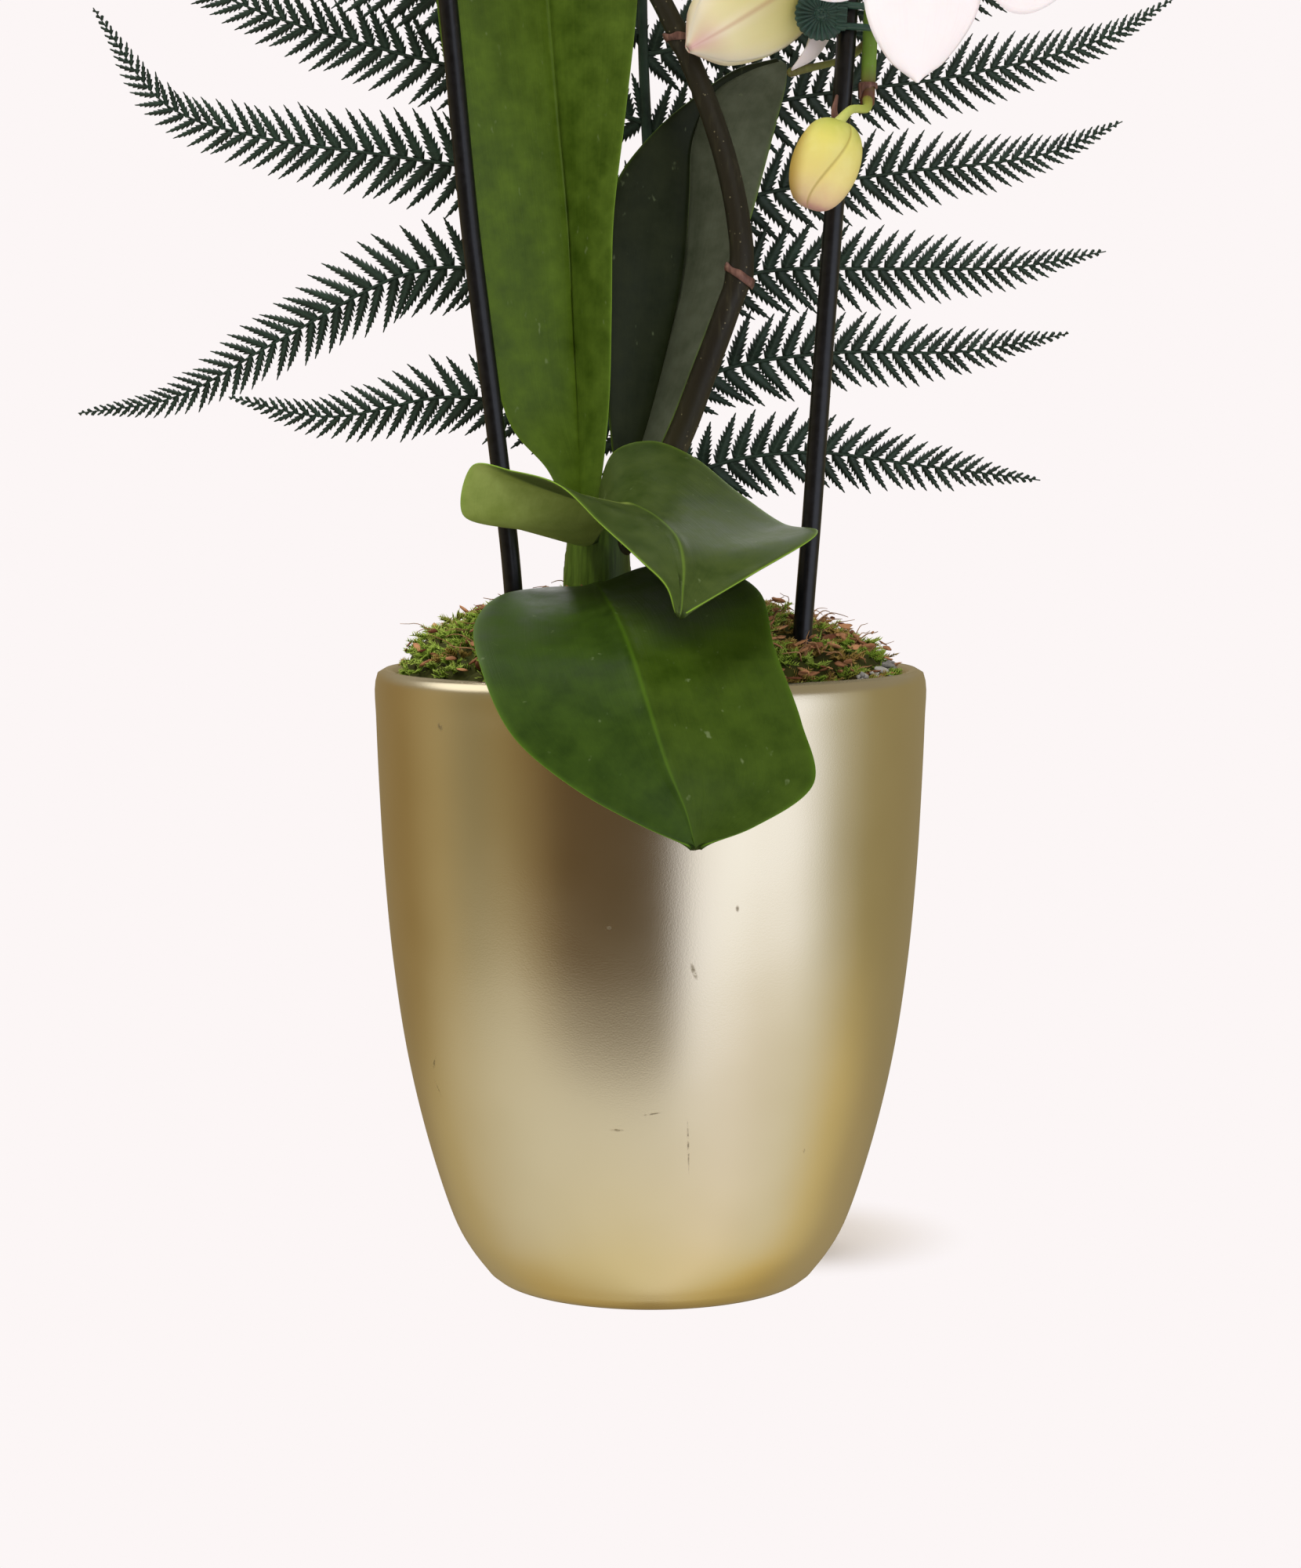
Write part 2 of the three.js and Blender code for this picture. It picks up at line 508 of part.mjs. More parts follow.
// ---------------------------------------------------------------- flower stem
// It leans right, swings back over to the left leg, and follows the outside of the hoop.
const STEM_BESIDE_WIRE = 5.3;
const besideHoop = (share, away = STEM_BESIDE_WIRE) => {
  const on = hoop.getPointAt(share);
  const tangent = hoop.getTangentAt(share);
  return [on.x - tangent.z * away, on.y, on.z + tangent.x * away];
};
const leftShare = (height) => shareAt((p) => p.x < 0 && p.z > height);
const rightShare = (height) => shareAt((p) => p.x > 15 && p.z < height);
const STEM_POINTS = [
  [-9, 2, 177], [-1, 2, 190], [4, 2, 198], [9, 1, 207.5], [14.3, -1, 220], [19.9, -3.5, 235], [22, -4, 246],
  [21, -3, 257], [17.9, -1.5, 271.6], [12.3, 0, 288], [3, 0, 308], [-12, -2, 332], [-28, -5, 357],
  [-44, -7.5, 380], [-54.5, -5, 397],
  ...[412, 427, 438].map((height) => besideHoop(leftShare(height))),
  besideHoop(TOP_SHARE, 6.8),
  ...[438, 427, 412, 390, 365, 340, 316].map((height) => besideHoop(rightShare(height))),
  [51.2, -13.5, 291], [50.9, -13.5, 283.5],
];
const stemCurve = through(STEM_POINTS);
const stemRadius = (t) => 3.5 - 1.1 * Math.min(1, t * 3) - 0.65 * t;
const pedicel = (points, radius) => rod(through(points), () => radius, 5, 3);
const PEDICEL_RADIUS = 1.3;
// Where each bloom's stalk leaves the stem, as a share of the stem's length.
const STALK_SHARES = [0.43, 0.515, 0.57, 0.635, 0.715, 0.765, 0.88];
const STALK_GAP = GAP + 0.2;
const stalks = BLOOMS.map((bloom, k) => {
  const from = stemCurve.getPointAt(STALK_SHARES[k]);
  const back = place(bloom).localToWorld(new THREE.Vector3(0, CORE_RADIUS + STALK_GAP, 0));
  const behind = place(bloom).localToWorld(new THREE.Vector3(0, CORE_RADIUS + 7, 0));
  const halfway = from.clone().lerp(behind, 0.55);
  return pedicel([from, halfway, behind, back].map((p) => p.toArray()), PEDICEL_RADIUS);
});
const halfOpenBack = halfOpen.localToWorld(new THREE.Vector3(0, 0, -2.5 - STALK_GAP));
const halfOpenStalk = pedicel([
  stemCurve.getPointAt(0.905).toArray(), [52, -5, 332], [48, -0.8, 323], halfOpenBack.toArray(),
], PEDICEL_RADIUS);
// A bare stalk that has dropped its bud.
const bareStalk = pedicel([[51.6, -13.5, 298], [46.5, -7.5, 294.5], [33.4, -5, 291.4]], 1.1);
const budTop = new THREE.Vector3(0, 0, BUD.halfLength + 2 * GAP)
  .applyAxisAngle(new THREE.Vector3(0, 1, 0), radians(BUD.lean))
  .add(vec(BUD.at));
const budStalk = pedicel(
  [[50.9, -13.5, 284.5], [50.5, -18, 281.5], [46.5, -23.5, 280.5], budTop.toArray()],
  PEDICEL_RADIUS,
);
// Sheathing bracts at the joints of the stem.
const NODE_SHARES = [0.155, 0.252];
const sheaths = NODE_SHARES.map((share) => {
  const at = stemCurve.getPointAt(share);
  const along = stemCurve.getTangentAt(share);
  const turn = new THREE.Quaternion().setFromUnitVectors(new THREE.Vector3(0, 1, 0), along);
  const sheath = new THREE.CylinderGeometry(stemRadius(share) + 0.9, stemRadius(share) + 0.5, 5, 9);
  return sheath.applyQuaternion(turn).translate(...at.toArray());
});
add('flower_spike', cut(
  fuse([rod(stemCurve, stemRadius, 6, 40), ...stalks, halfOpenStalk, bareStalk, budStalk, ...sheaths]),
  [crownShape(GAP)],
), STEM_GREEN);

// ---------------------------------------------------------------- clips
// A daisy-headed clip: two open rings round wire and stem, a bridge in front, and the daisy on it.
const CLIP = { ringHeight: 1.8, ringWall: 1.3, ringStep: 4.2, daisyX: -6.5, daisyRadius: 5.6, petals: 8 };
function clipBody(stemAt) {
  const inner = WIRE_RADIUS + 0.7;
  const reach = STEM_BESIDE_WIRE + stemAt + 0.5;
  const halfInner = Math.max(inner, stemAt + 0.6);
  const loop = (grow) => [
    [reach + grow * 0.6, 1.3 + grow * 0.2], [STEM_BESIDE_WIRE * 0.8 + grow * 0.3, halfInner + grow],
    [0, halfInner + grow], [-(inner + grow) * 0.8, (inner + grow) * 0.62], [-(inner + grow), 0],
  ];
  const mirror = (points) => points.map(([x, y]) => [x, -y]).reverse().slice(1);
  const outer = [...loop(CLIP.ringWall), ...mirror(loop(CLIP.ringWall))];
  const inside = [...loop(0), ...mirror(loop(0))].reverse();
  const ring = new THREE.Shape([...outer, ...inside].map(([x, y]) => new THREE.Vector2(x, y)));
  const solidRing = () => new THREE.ExtrudeGeometry(ring, { depth: CLIP.ringHeight, bevelEnabled: false });
  const front = -(halfInner + CLIP.ringWall);
  const bridge = new THREE.BoxGeometry(8.5, 1.4, CLIP.ringStep + CLIP.ringHeight)
    .translate(CLIP.daisyX / 2 - 0.5, front + 0.1, 0);
  const daisy = new THREE.Shape(Array.from({ length: CLIP.petals * 2 }, (_, k) => {
    const angle = (k * Math.PI) / CLIP.petals;
    const radius = k % 2 ? CLIP.daisyRadius * 0.72 : CLIP.daisyRadius;
    return new THREE.Vector2(Math.cos(angle) * radius, Math.sin(angle) * radius);
  }));
  const facing = (geometry) => geometry.rotateX(Math.PI / 2).translate(CLIP.daisyX, front + 0.5, 0);
  return fuse([
    solidRing().translate(0, 0, CLIP.ringStep / 2 - CLIP.ringHeight / 2),
    solidRing().translate(0, 0, -CLIP.ringStep / 2 - CLIP.ringHeight / 2),
    bridge,
    facing(new THREE.ExtrudeGeometry(daisy, { depth: 1.5, bevelEnabled: false })),
    facing(new THREE.CylinderGeometry(2, 2.4, 2.6, 6).rotateX(-Math.PI / 2).translate(0, 0, 1.3)),
  ]);
}
const STEM_TIP_RADIUS = 2.1;
const CLIPS = [
  { name: 'clip_left', share: leftShare(424) },
  { name: 'clip_top', share: rightShare(441) },
  { name: 'clip_right', share: rightShare(303) },
];
CLIPS.forEach(({ name, share }) => {
  const on = hoop.getPointAt(share);
  const toStem = vec(besideHoop(share)).sub(on).normalize();
  const back = toStem.clone().cross(hoop.getTangentAt(share)).normalize();
  const group = new THREE.Group();
  group.position.copy(on);
  const axes = new THREE.Matrix4().makeBasis(toStem, back, toStem.clone().cross(back));
  group.quaternion.setFromRotationMatrix(axes);
  plant.add(group);
  add(name, clipBody(STEM_TIP_RADIUS), CLIP_TEAL, group);
});

// ---------------------------------------------------------------- bark and moss
// Wires, crown and frond stand in plain holes.
const LEG_HOLE = 0.4;
const standing = () => [
  rod(hoop, () => WIRE_RADIUS + LEG_HOLE, WIRE_SIDES, 9, 0, leftLegEnd),
  rod(hoop, () => WIRE_RADIUS + LEG_HOLE, WIRE_SIDES, 9, 1, rightLegStart),
  crownShape(LEG_HOLE),
  rachisRod(LEG_HOLE),
];
const BARK_TOP = GROW_POT_TOP - 2.5;
const barkFoot = LINER.foot + LINER.wall + GAP;
add('potting_bark', cut(lathe([
  [0, barkFoot], [LINER.footRadius - LINER.wall - 0.6, barkFoot], [linerAt(126) - LINER.wall - 0.6, 126],
  [linerAt(BARK_TOP) - LINER.wall - 1.2, BARK_TOP - 2], [40, BARK_TOP], [20, BARK_TOP - 1], [0, BARK_TOP],
], 24), standing()), BARK);

const MOSS_EDGE = MOUTH_RADIUS - 0.6;
const MOSS_FOOT = GROW_POT_TOP + GAP;
const MOSS_SINK = 4;               // how far its edge lies below the lip
const MOSS_CREST = { x: -4, y: 12, height: 11.5, spread: 52, base: 7.8 };
const mossTop = (x, y) => {
  const away = Math.hypot(x - MOSS_CREST.x, y - MOSS_CREST.y) / MOSS_CREST.spread;
  const edge = Math.min(1, Math.max(0, (MOSS_EDGE - Math.hypot(x, y)) / 4.5)) ** 0.55;
  const broad = 1.1 * Math.sin(x * 0.31 + 1.3) * Math.cos(y * 0.27 - 0.4);
  const small = 0.7 * Math.sin(x * 0.63 - y * 0.52);
  const crest = MOSS_CREST.base + MOSS_CREST.height * (1 - away * away);
  return POT_HEIGHT - MOSS_SINK + (MOSS_SINK + crest + broad + small) * edge;
};
// Rings of the cushion from its middle out over the top, then back under it.
const MOSS_TOP_RINGS = [0, 0.22, 0.42, 0.62, 0.8, 0.93, 1];
const mossBlank = lathe([
  ...MOSS_TOP_RINGS.map((share) => [share * MOSS_EDGE, 1]), [0.985 * MOSS_EDGE, 0], [0, 0],
], 26);
add('moss', cut(bend(mossBlank, (p) => (
  new THREE.Vector3(p.x, p.y, p.z > 0.5 ? mossTop(p.x, p.y) : MOSS_FOOT)
)), standing()), MOSS);

export default plant;
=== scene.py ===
# A moth orchid in a gold-coloured pot: strap leaves, a flower stem trained over a wire hoop, and a
# fern frond behind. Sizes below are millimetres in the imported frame; MM turns them into metres.
import math
import random

import bpy
import numpy as np
from mathutils import Matrix, Vector, noise


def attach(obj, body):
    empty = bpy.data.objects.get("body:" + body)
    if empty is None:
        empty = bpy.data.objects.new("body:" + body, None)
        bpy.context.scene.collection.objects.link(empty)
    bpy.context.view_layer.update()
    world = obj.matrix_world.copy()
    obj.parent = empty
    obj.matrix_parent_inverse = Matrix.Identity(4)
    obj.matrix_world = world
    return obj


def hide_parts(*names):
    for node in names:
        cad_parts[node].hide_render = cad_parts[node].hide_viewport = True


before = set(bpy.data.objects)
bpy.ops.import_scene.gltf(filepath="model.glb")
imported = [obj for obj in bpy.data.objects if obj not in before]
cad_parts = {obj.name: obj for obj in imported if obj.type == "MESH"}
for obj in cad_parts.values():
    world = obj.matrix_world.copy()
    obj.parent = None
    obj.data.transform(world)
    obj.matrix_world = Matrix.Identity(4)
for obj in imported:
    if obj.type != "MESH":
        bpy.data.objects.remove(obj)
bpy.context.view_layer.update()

# ---------------------------------------------------------------- camera
# The photograph is a straight product shot from a little above the pot's lip, with a long lens.
# The camera looks a few degrees down at the pot's middle.
MM = 0.001
CAMERA_DISTANCE = 750
CAMERA_HEIGHT = 196
CAMERA_PITCH = 5.7
SENSOR_WIDTH = 36
PHOTO_HEIGHT = 2000
FOCAL_PIXELS = 3933

camera_data = bpy.data.cameras.new("camera")
camera_data.sensor_width = SENSOR_WIDTH
camera_data.lens = SENSOR_WIDTH * FOCAL_PIXELS / PHOTO_HEIGHT
camera = bpy.data.objects.new("camera", camera_data)
camera.location = (0, -CAMERA_DISTANCE * MM, CAMERA_HEIGHT * MM)
camera.rotation_euler = (math.radians(90 - CAMERA_PITCH), 0, 0)
bpy.context.scene.collection.objects.link(camera)
bpy.context.scene.camera = camera
bpy.context.scene.view_settings.view_transform = "Standard"

# ---------------------------------------------------------------- gold pot
# A cast pot sprayed in satin champagne gold, with a soft rolled lip, a flat foot and a few nicks
# and rubbed marks from handling. The wall is 5 mm thick and tapers to the foot in one curve.
POT_TOP = 149.7
POT_OUTSIDE = [
    (40.4, 1.7), (44.4, 7), (48, 13.4), (53.9, 31), (59.4, 54), (62.9, 77.5), (65, 101), (66.2, 124),
    (66.7, 138), (66.9, 145.9), (66.1, 148.9), (64.2, POT_TOP), (62.4, 149.1), (61.5, 146.2),
]
POT_INSIDE = [(61.5, 134), (60, 101), (54.4, 54), (48.9, 31), (42.9, 14), (37.5, 6)]
POT_FOOT = [(0, 0), (37.2, 0), (38.7, 0.35)]
POT_FLOOR = 6
POT_SIDES = 192
POT_WALL_STEPS = 150


class Path:
    """A smooth curve through points, by its points' count (at) or by its length (along)."""

    def __init__(self, points):
        self.points = [Vector(p) for p in points]
        share = np.linspace(0, 1, 1601)
        self.shares = share
        places = np.array([self.at(s) for s in share])
        self.lengths = np.concatenate([[0], np.cumsum(np.linalg.norm(np.diff(places, axis=0), axis=1))])
        self.length = self.lengths[-1]

    def at(self, share):
        points = self.points
        last = len(points) - 1
        spot = min(max(share, 0), 1) * last
        k = min(int(spot), last - 1)
        t = spot - k
        b, c = points[k], points[k + 1]
        a = points[k - 1] if k > 0 else 2 * b - c
        d = points[k + 2] if k + 2 <= last else 2 * c - b
        step = (c - b).length ** 0.5
        before = (b - a).length ** 0.5
        after = (d - c).length ** 0.5
        leave = ((b - a) / before - (c - a) / (before + step) + (c - b) / step) * step
        arrive = ((c - b) / step - (d - b) / (step + after) + (d - c) / after) * step
        return (
            b + leave * t + (3 * (c - b) - 2 * leave - arrive) * t**2
            + (2 * (b - c) + leave + arrive) * t**3
        )

    def share_at_length(self, share):
        return float(np.interp(share * self.length, self.lengths, self.shares))

    def along(self, share):
        return self.at(self.share_at_length(share))

    def heading(self, share, step=0.0008):
        return (self.along(min(1, share + step)) - self.along(max(0, share - step))).normalized()


def colour(code):
    """A screen colour such as C9B37A as a linear colour."""
    levels = [int(code[k : k + 2], 16) / 255 for k in (0, 2, 4)]
    return [v / 12.92 if v <= 0.04045 else ((v + 0.055) / 1.055) ** 2.4 for v in levels] + [1]


def new_finish(name, roughness, **sockets):
    """An empty finish; returns its material, its node tree and its shader."""
    finish = bpy.data.materials.new(name)
    finish.use_nodes = True
    shader = finish.node_tree.nodes["Principled BSDF"]
    shader.inputs["Roughness"].default_value = roughness
    for socket, value in sockets.items():
        shader.inputs[socket.replace("_", " ")].default_value = value
    return finish, finish.node_tree, shader


def add_node(tree, kind, inputs=None, **settings):
    """A shader node; inputs are values or other nodes' outputs, by socket name or number."""
    added = tree.nodes.new(kind)
    for setting, value in settings.items():
        setattr(added, setting, value)
    for socket, value in (inputs or {}).items():
        if isinstance(value, bpy.types.NodeSocket):
            tree.links.new(value, added.inputs[socket])
        else:
            added.inputs[socket].default_value = value
    return added


def maths(tree, operation, first, second=0.0, third=0.0):
    inputs = {0: first, 1: second, 2: third}
    return add_node(tree, "ShaderNodeMath", inputs, operation=operation).outputs[0]


def times(tree, first, second):
    return maths(tree, "MULTIPLY", first, second)


def parts(tree, vector):
    """The X, Y and Z of a vector."""
    return add_node(tree, "ShaderNodeSeparateXYZ", {0: vector}).outputs


def ramp(tree, factor, stops):
    """A colour ramp; stops are (place, colour code or linear colour)."""
    added = add_node(tree, "ShaderNodeValToRGB", {0: factor})
    band = added.color_ramp
    for k, (place, shade) in enumerate(stops):
        stop = band.elements[k] if k < 2 else band.elements.new(place)
        stop.position = place
        stop.color = colour(shade) if isinstance(shade, str) else shade
    return added.outputs[0]


def fade(tree, value, start, end, low=0.0, high=1.0):
    """A smooth change from low to high while value goes from start to end."""
    inputs = {0: value, 1: start, 2: end, 3: low, 4: high}
    return add_node(tree, "ShaderNodeMapRange", inputs, interpolation_type="SMOOTHSTEP").outputs[0]


def mixed(tree, factor, first, second, blend="MIX"):
    inputs = {0: factor, 6: first, 7: second}
    return add_node(tree, "ShaderNodeMix", inputs, data_type="RGBA", blend_type=blend).outputs[2]


def tinted(tree, tone, share, code):
    """A tone with a share of one colour in it."""
    return mixed(tree, share, tone, colour(code))


def speckle(tree, where, scale, detail=3.0, roughness=0.6):
    inputs = {"Vector": where, "Scale": scale, "Detail": detail, "Roughness": roughness}
    return add_node(tree, "ShaderNodeTexNoise", inputs).outputs[0]


def stretched(tree, where, scale):
    return add_node(tree, "ShaderNodeMapping", {"Vector": where, "Scale": scale}).outputs[0]


def dress(tree, shader, tone, relief, strength, depth):
    """Gives the shader its colour and its fine relief; depth is in metres."""
    tree.links.new(tone, shader.inputs[0])
    inputs = {"Height": relief, "Strength": strength, "Distance": depth}
    tree.links.new(add_node(tree, "ShaderNodeBump", inputs).outputs[0], shader.inputs["Normal"])


def coordinates(tree, kind="Object"):
    return add_node(tree, "ShaderNodeTexCoord").outputs[kind]


def build(name, skin, finish, slot, *nodes):
    """Makes a piece from (points in mm, faces, uvs), with its finish and the nodes it replaces; slot is not
    used.
    """
    points, faces, uvs = skin
    mesh = bpy.data.meshes.new(name)
    mesh.from_pydata((np.asarray(points, float) * MM).tolist(), [], faces)
    mesh.polygons.foreach_set("use_smooth", [True] * len(mesh.polygons))
    if uvs is not None:
        corners = np.empty(len(mesh.loops), np.int32)
        mesh.loops.foreach_get("vertex_index", corners)
        mesh.uv_layers.new(name="across_along")
        mesh.uv_layers[0].data.foreach_set("uv", np.asarray(uvs, np.float32)[corners].ravel())
    mesh.materials.append(finish)
    mesh.validate()
    mesh.update()
    piece = bpy.data.objects.new(name, mesh)
    bpy.context.scene.collection.objects.link(piece)
    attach(piece, "root")
    if nodes:
        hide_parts(*nodes)
    return piece


def turns(count):
    """Angles spread evenly round a circle."""
    return [2 * math.pi * k / count for k in range(count)]


def lathe(profile, sides):
    """A closed skin round Z from (radius, height) points that start and end on the axis."""
    points, faces = [(0, 0, profile[0][1]), (0, 0, profile[-1][1])], []
    ring = profile[1:-1]
    for r, z in ring:
        points += [(r * math.sin(turn), -r * math.cos(turn), z) for turn in turns(sides)]
    for k in range(sides):
        on = (k + 1) % sides
        faces.append((0, 2 + on, 2 + k))
        for row in range(len(ring) - 1):
            low, high = 2 + row * sides, 2 + (row + 1) * sides
            faces.append((low + k, low + on, high + on, high + k))
        top = 2 + (len(ring) - 1) * sides
        faces.append((1, top + k, top + on))
    return points, faces, None


wall = Path([(r, 0, z) for r, z in POT_OUTSIDE + POT_INSIDE])
wall_profile = [wall.along(k / POT_WALL_STEPS) for k in range(POT_WALL_STEPS + 1)]
pot_profile = POT_FOOT + [(p.x, p.z) for p in wall_profile] + [(0, POT_FLOOR)]

# Nicks and rubbed lines as (place round the wall from the front, height, half length, half width,
# tilt in degrees), all measured along the wall.
POT_NICKS = [
    (-8.3, 47.5, 1.8, 0.35, 0), (0.3, 51.5, 2.6, 0.22, 8), (9.4, 43.5, 0.3, 7.0, 4),
    (-63, 58, 2.4, 0.5, 50), (43, 39.5, 0.5, 0.6, 0), (-50, 139, 0.9, 1.2, 20),
    (9.5, 85, 0.6, 2.2, 20), (19, 99, 0.5, 0.9, 0), (-63.5, 52, 0.3, 2.6, 30), (-9, 95, 0.6, 0.5, 0),
]
NICKS_ON_RADIUS = 62
NICK_EDGE = (1.15, 0.2)


def pot_finish():
    finish, tree, shader = new_finish("satin_champagne_gold", 0.24, Metallic=1.0)
    where = coordinates(tree)
    split = parts(tree, where)
    turn = maths(tree, "ARCTAN2", split[0], times(tree, split[1], -1.0))
    round_wall = times(tree, turn, NICKS_ON_RADIUS * MM)
    on_wall = add_node(tree, "ShaderNodeCombineXYZ", {0: round_wall, 1: split[2]}).outputs[0]
    worn = 0.0
    for place, height, half_length, half_width, tilt in POT_NICKS:
        nick = {
            "Vector": on_wall, "Location": (place * MM, height * MM, 0),
            "Rotation": (0, 0, math.radians(tilt)), "Scale": (half_length * MM, half_width * MM, 1),
        }
        spot = add_node(tree, "ShaderNodeMapping", nick, vector_type="TEXTURE").outputs[0]
        away = add_node(tree, "ShaderNodeVectorMath", {0: spot}, operation="LENGTH").outputs["Value"]
        worn = maths(tree, "MAXIMUM", worn, fade(tree, away, *NICK_EDGE))
    worn = times(tree, worn, fade(tree, speckle(tree, where, 900), 0.35, 0.6))
    clouds = speckle(tree, where, 26, 2)
    paint = ramp(tree, clouds, [(0.25, "E1D4B6"), (0.75, "EADEC3")])
    scraped = tinted(tree, paint, times(tree, worn, 0.6), "5A4A35")
    grain = speckle(tree, where, 2600, 2)
    dull = fade(tree, clouds, 0.2, 0.8, 0.21, 0.25)
    tree.links.new(maths(tree, "MULTIPLY_ADD", worn, 0.3, dull), shader.inputs["Roughness"])
    dress(tree, shader, scraped, maths(tree, "SUBTRACT", grain, worn), 0.05, 0.0003)
    return finish


build("gold_pot", lathe(pot_profile, POT_SIDES), pot_finish(), "pot_gold", "pot")

# ---------------------------------------------------------------- grow pot and potting bark
# The thin clear nursery pot stands inside, filled with bark chips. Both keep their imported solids,
# which the moss covers, and only take a finish here.


def keep_node(node, finish):
    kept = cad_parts[node]
    kept.data.materials.clear()
    kept.data.materials.append(finish)


def grow_pot_finish():
    finish, tree, shader = new_finish("clear_nursery_plastic", 0.32, Transmission_Weight=0.5, IOR=1.49)
    cloudy = speckle(tree, coordinates(tree), 60)
    tone = ramp(tree, cloudy, [(0.3, "B4B9AE"), (0.7, "CBCEC6")])
    dress(tree, shader, tone, cloudy, 0.1, 0.0005)
    return finish


def bark_finish():
    finish, tree, shader = new_finish("bark_chips", 0.9)
    where = coordinates(tree)
    chip = add_node(tree, "ShaderNodeTexVoronoi", {"Vector": where, "Scale": 140})
    fleck = speckle(tree, where, 420)
    shade = mixed(tree, 0.35, chip.outputs["Color"], fleck)
    tone = ramp(tree, shade, [(0.2, "2C1B10"), (0.5, "5E3D25"), (0.85, "8A6342")])
    dress(tree, shader, tone, maths(tree, "ADD", chip.outputs["Distance"], fleck), 0.7, 0.002)
    return finish


keep_node("grow_pot", grow_pot_finish())
keep_node("potting_bark", bark_finish())

# ---------------------------------------------------------------- crown
# The short stem of the orchid, wrapped in the folded bases of its leaves, each sheath lapping
# over the next one, with a dry brown rim where an old leaf came off.
CROWN = {"x": -13, "y": 5, "half_x": 9, "half_y": 8, "foot": 118, "top": 188}
CROWN_STEPS = 44
CROWN_SIDES = 64
DRY_BELOW = (164, 154)


def wall_faces(rows, sides, closed=False):
    """Faces between rings of points; closed joins the last ring to the first one."""
    faces = []
    for row in range(rows if closed else rows - 1):
        low, high = row * sides, (row + 1) % rows * sides
        for k in range(sides):
            on = (k + 1) % sides
            faces.append((low + k, low + on, high + on, high + k))
    return faces


def end_faces(rows, sides):
    """A face over the first ring of points and one over the last."""
    return [tuple(reversed(range(sides))), tuple(range((rows - 1) * sides, rows * sides))]


def crown_skin():
    points, uvs = [], []
    for row in range(CROWN_STEPS + 1):
        v = row / CROWN_STEPS
        swell = 0.72 + 0.28 * math.sin(math.pi * min(1, 0.15 + 0.8 * v))
        for k, turn in enumerate(turns(CROWN_SIDES)):
            fold = 1 + 0.05 * math.cos(2 * turn) * v
            # Each sheath stands a little proud of the one inside it along a slanting edge.
            lap = 0.05 * ((turn / math.pi + 2.4 * v) % 1.0) ** 3
            groove = -0.10 * math.exp(-((math.sin(turn) / 0.10) ** 2)) * v
            reach = swell * (fold + lap - 0.04 + groove)
            points.append((
                CROWN["x"] + CROWN["half_x"] * reach * math.cos(turn),
                CROWN["y"] + CROWN["half_y"] * reach * math.sin(turn),
                CROWN["foot"] + v * (CROWN["top"] - CROWN["foot"]),
            ))
            uvs.append((k / CROWN_SIDES, v))
    rings = CROWN_STEPS + 1
    return points, wall_faces(rings, CROWN_SIDES) + end_faces(rings, CROWN_SIDES), uvs


def crown_finish():
    finish, tree, shader = new_finish("sheath_green", 0.42, Specular_IOR_Level=0.3)
    where = coordinates(tree)
    streaks = speckle(tree, stretched(tree, where, (900, 900, 60)), 1.0)
    height = parts(tree, where)[2]
    green = ramp(tree, streaks, [(0.3, "34480E"), (0.7, "587224")])
    dry = fade(tree, height, DRY_BELOW[0] * MM, DRY_BELOW[1] * MM)
    dress(tree, shader, tinted(tree, green, dry, "6B4A2C"), streaks, 0.15, 0.0006)
    return finish


build("leaf_sheaths", crown_skin(), crown_finish(), "crown", "orchid_crown")

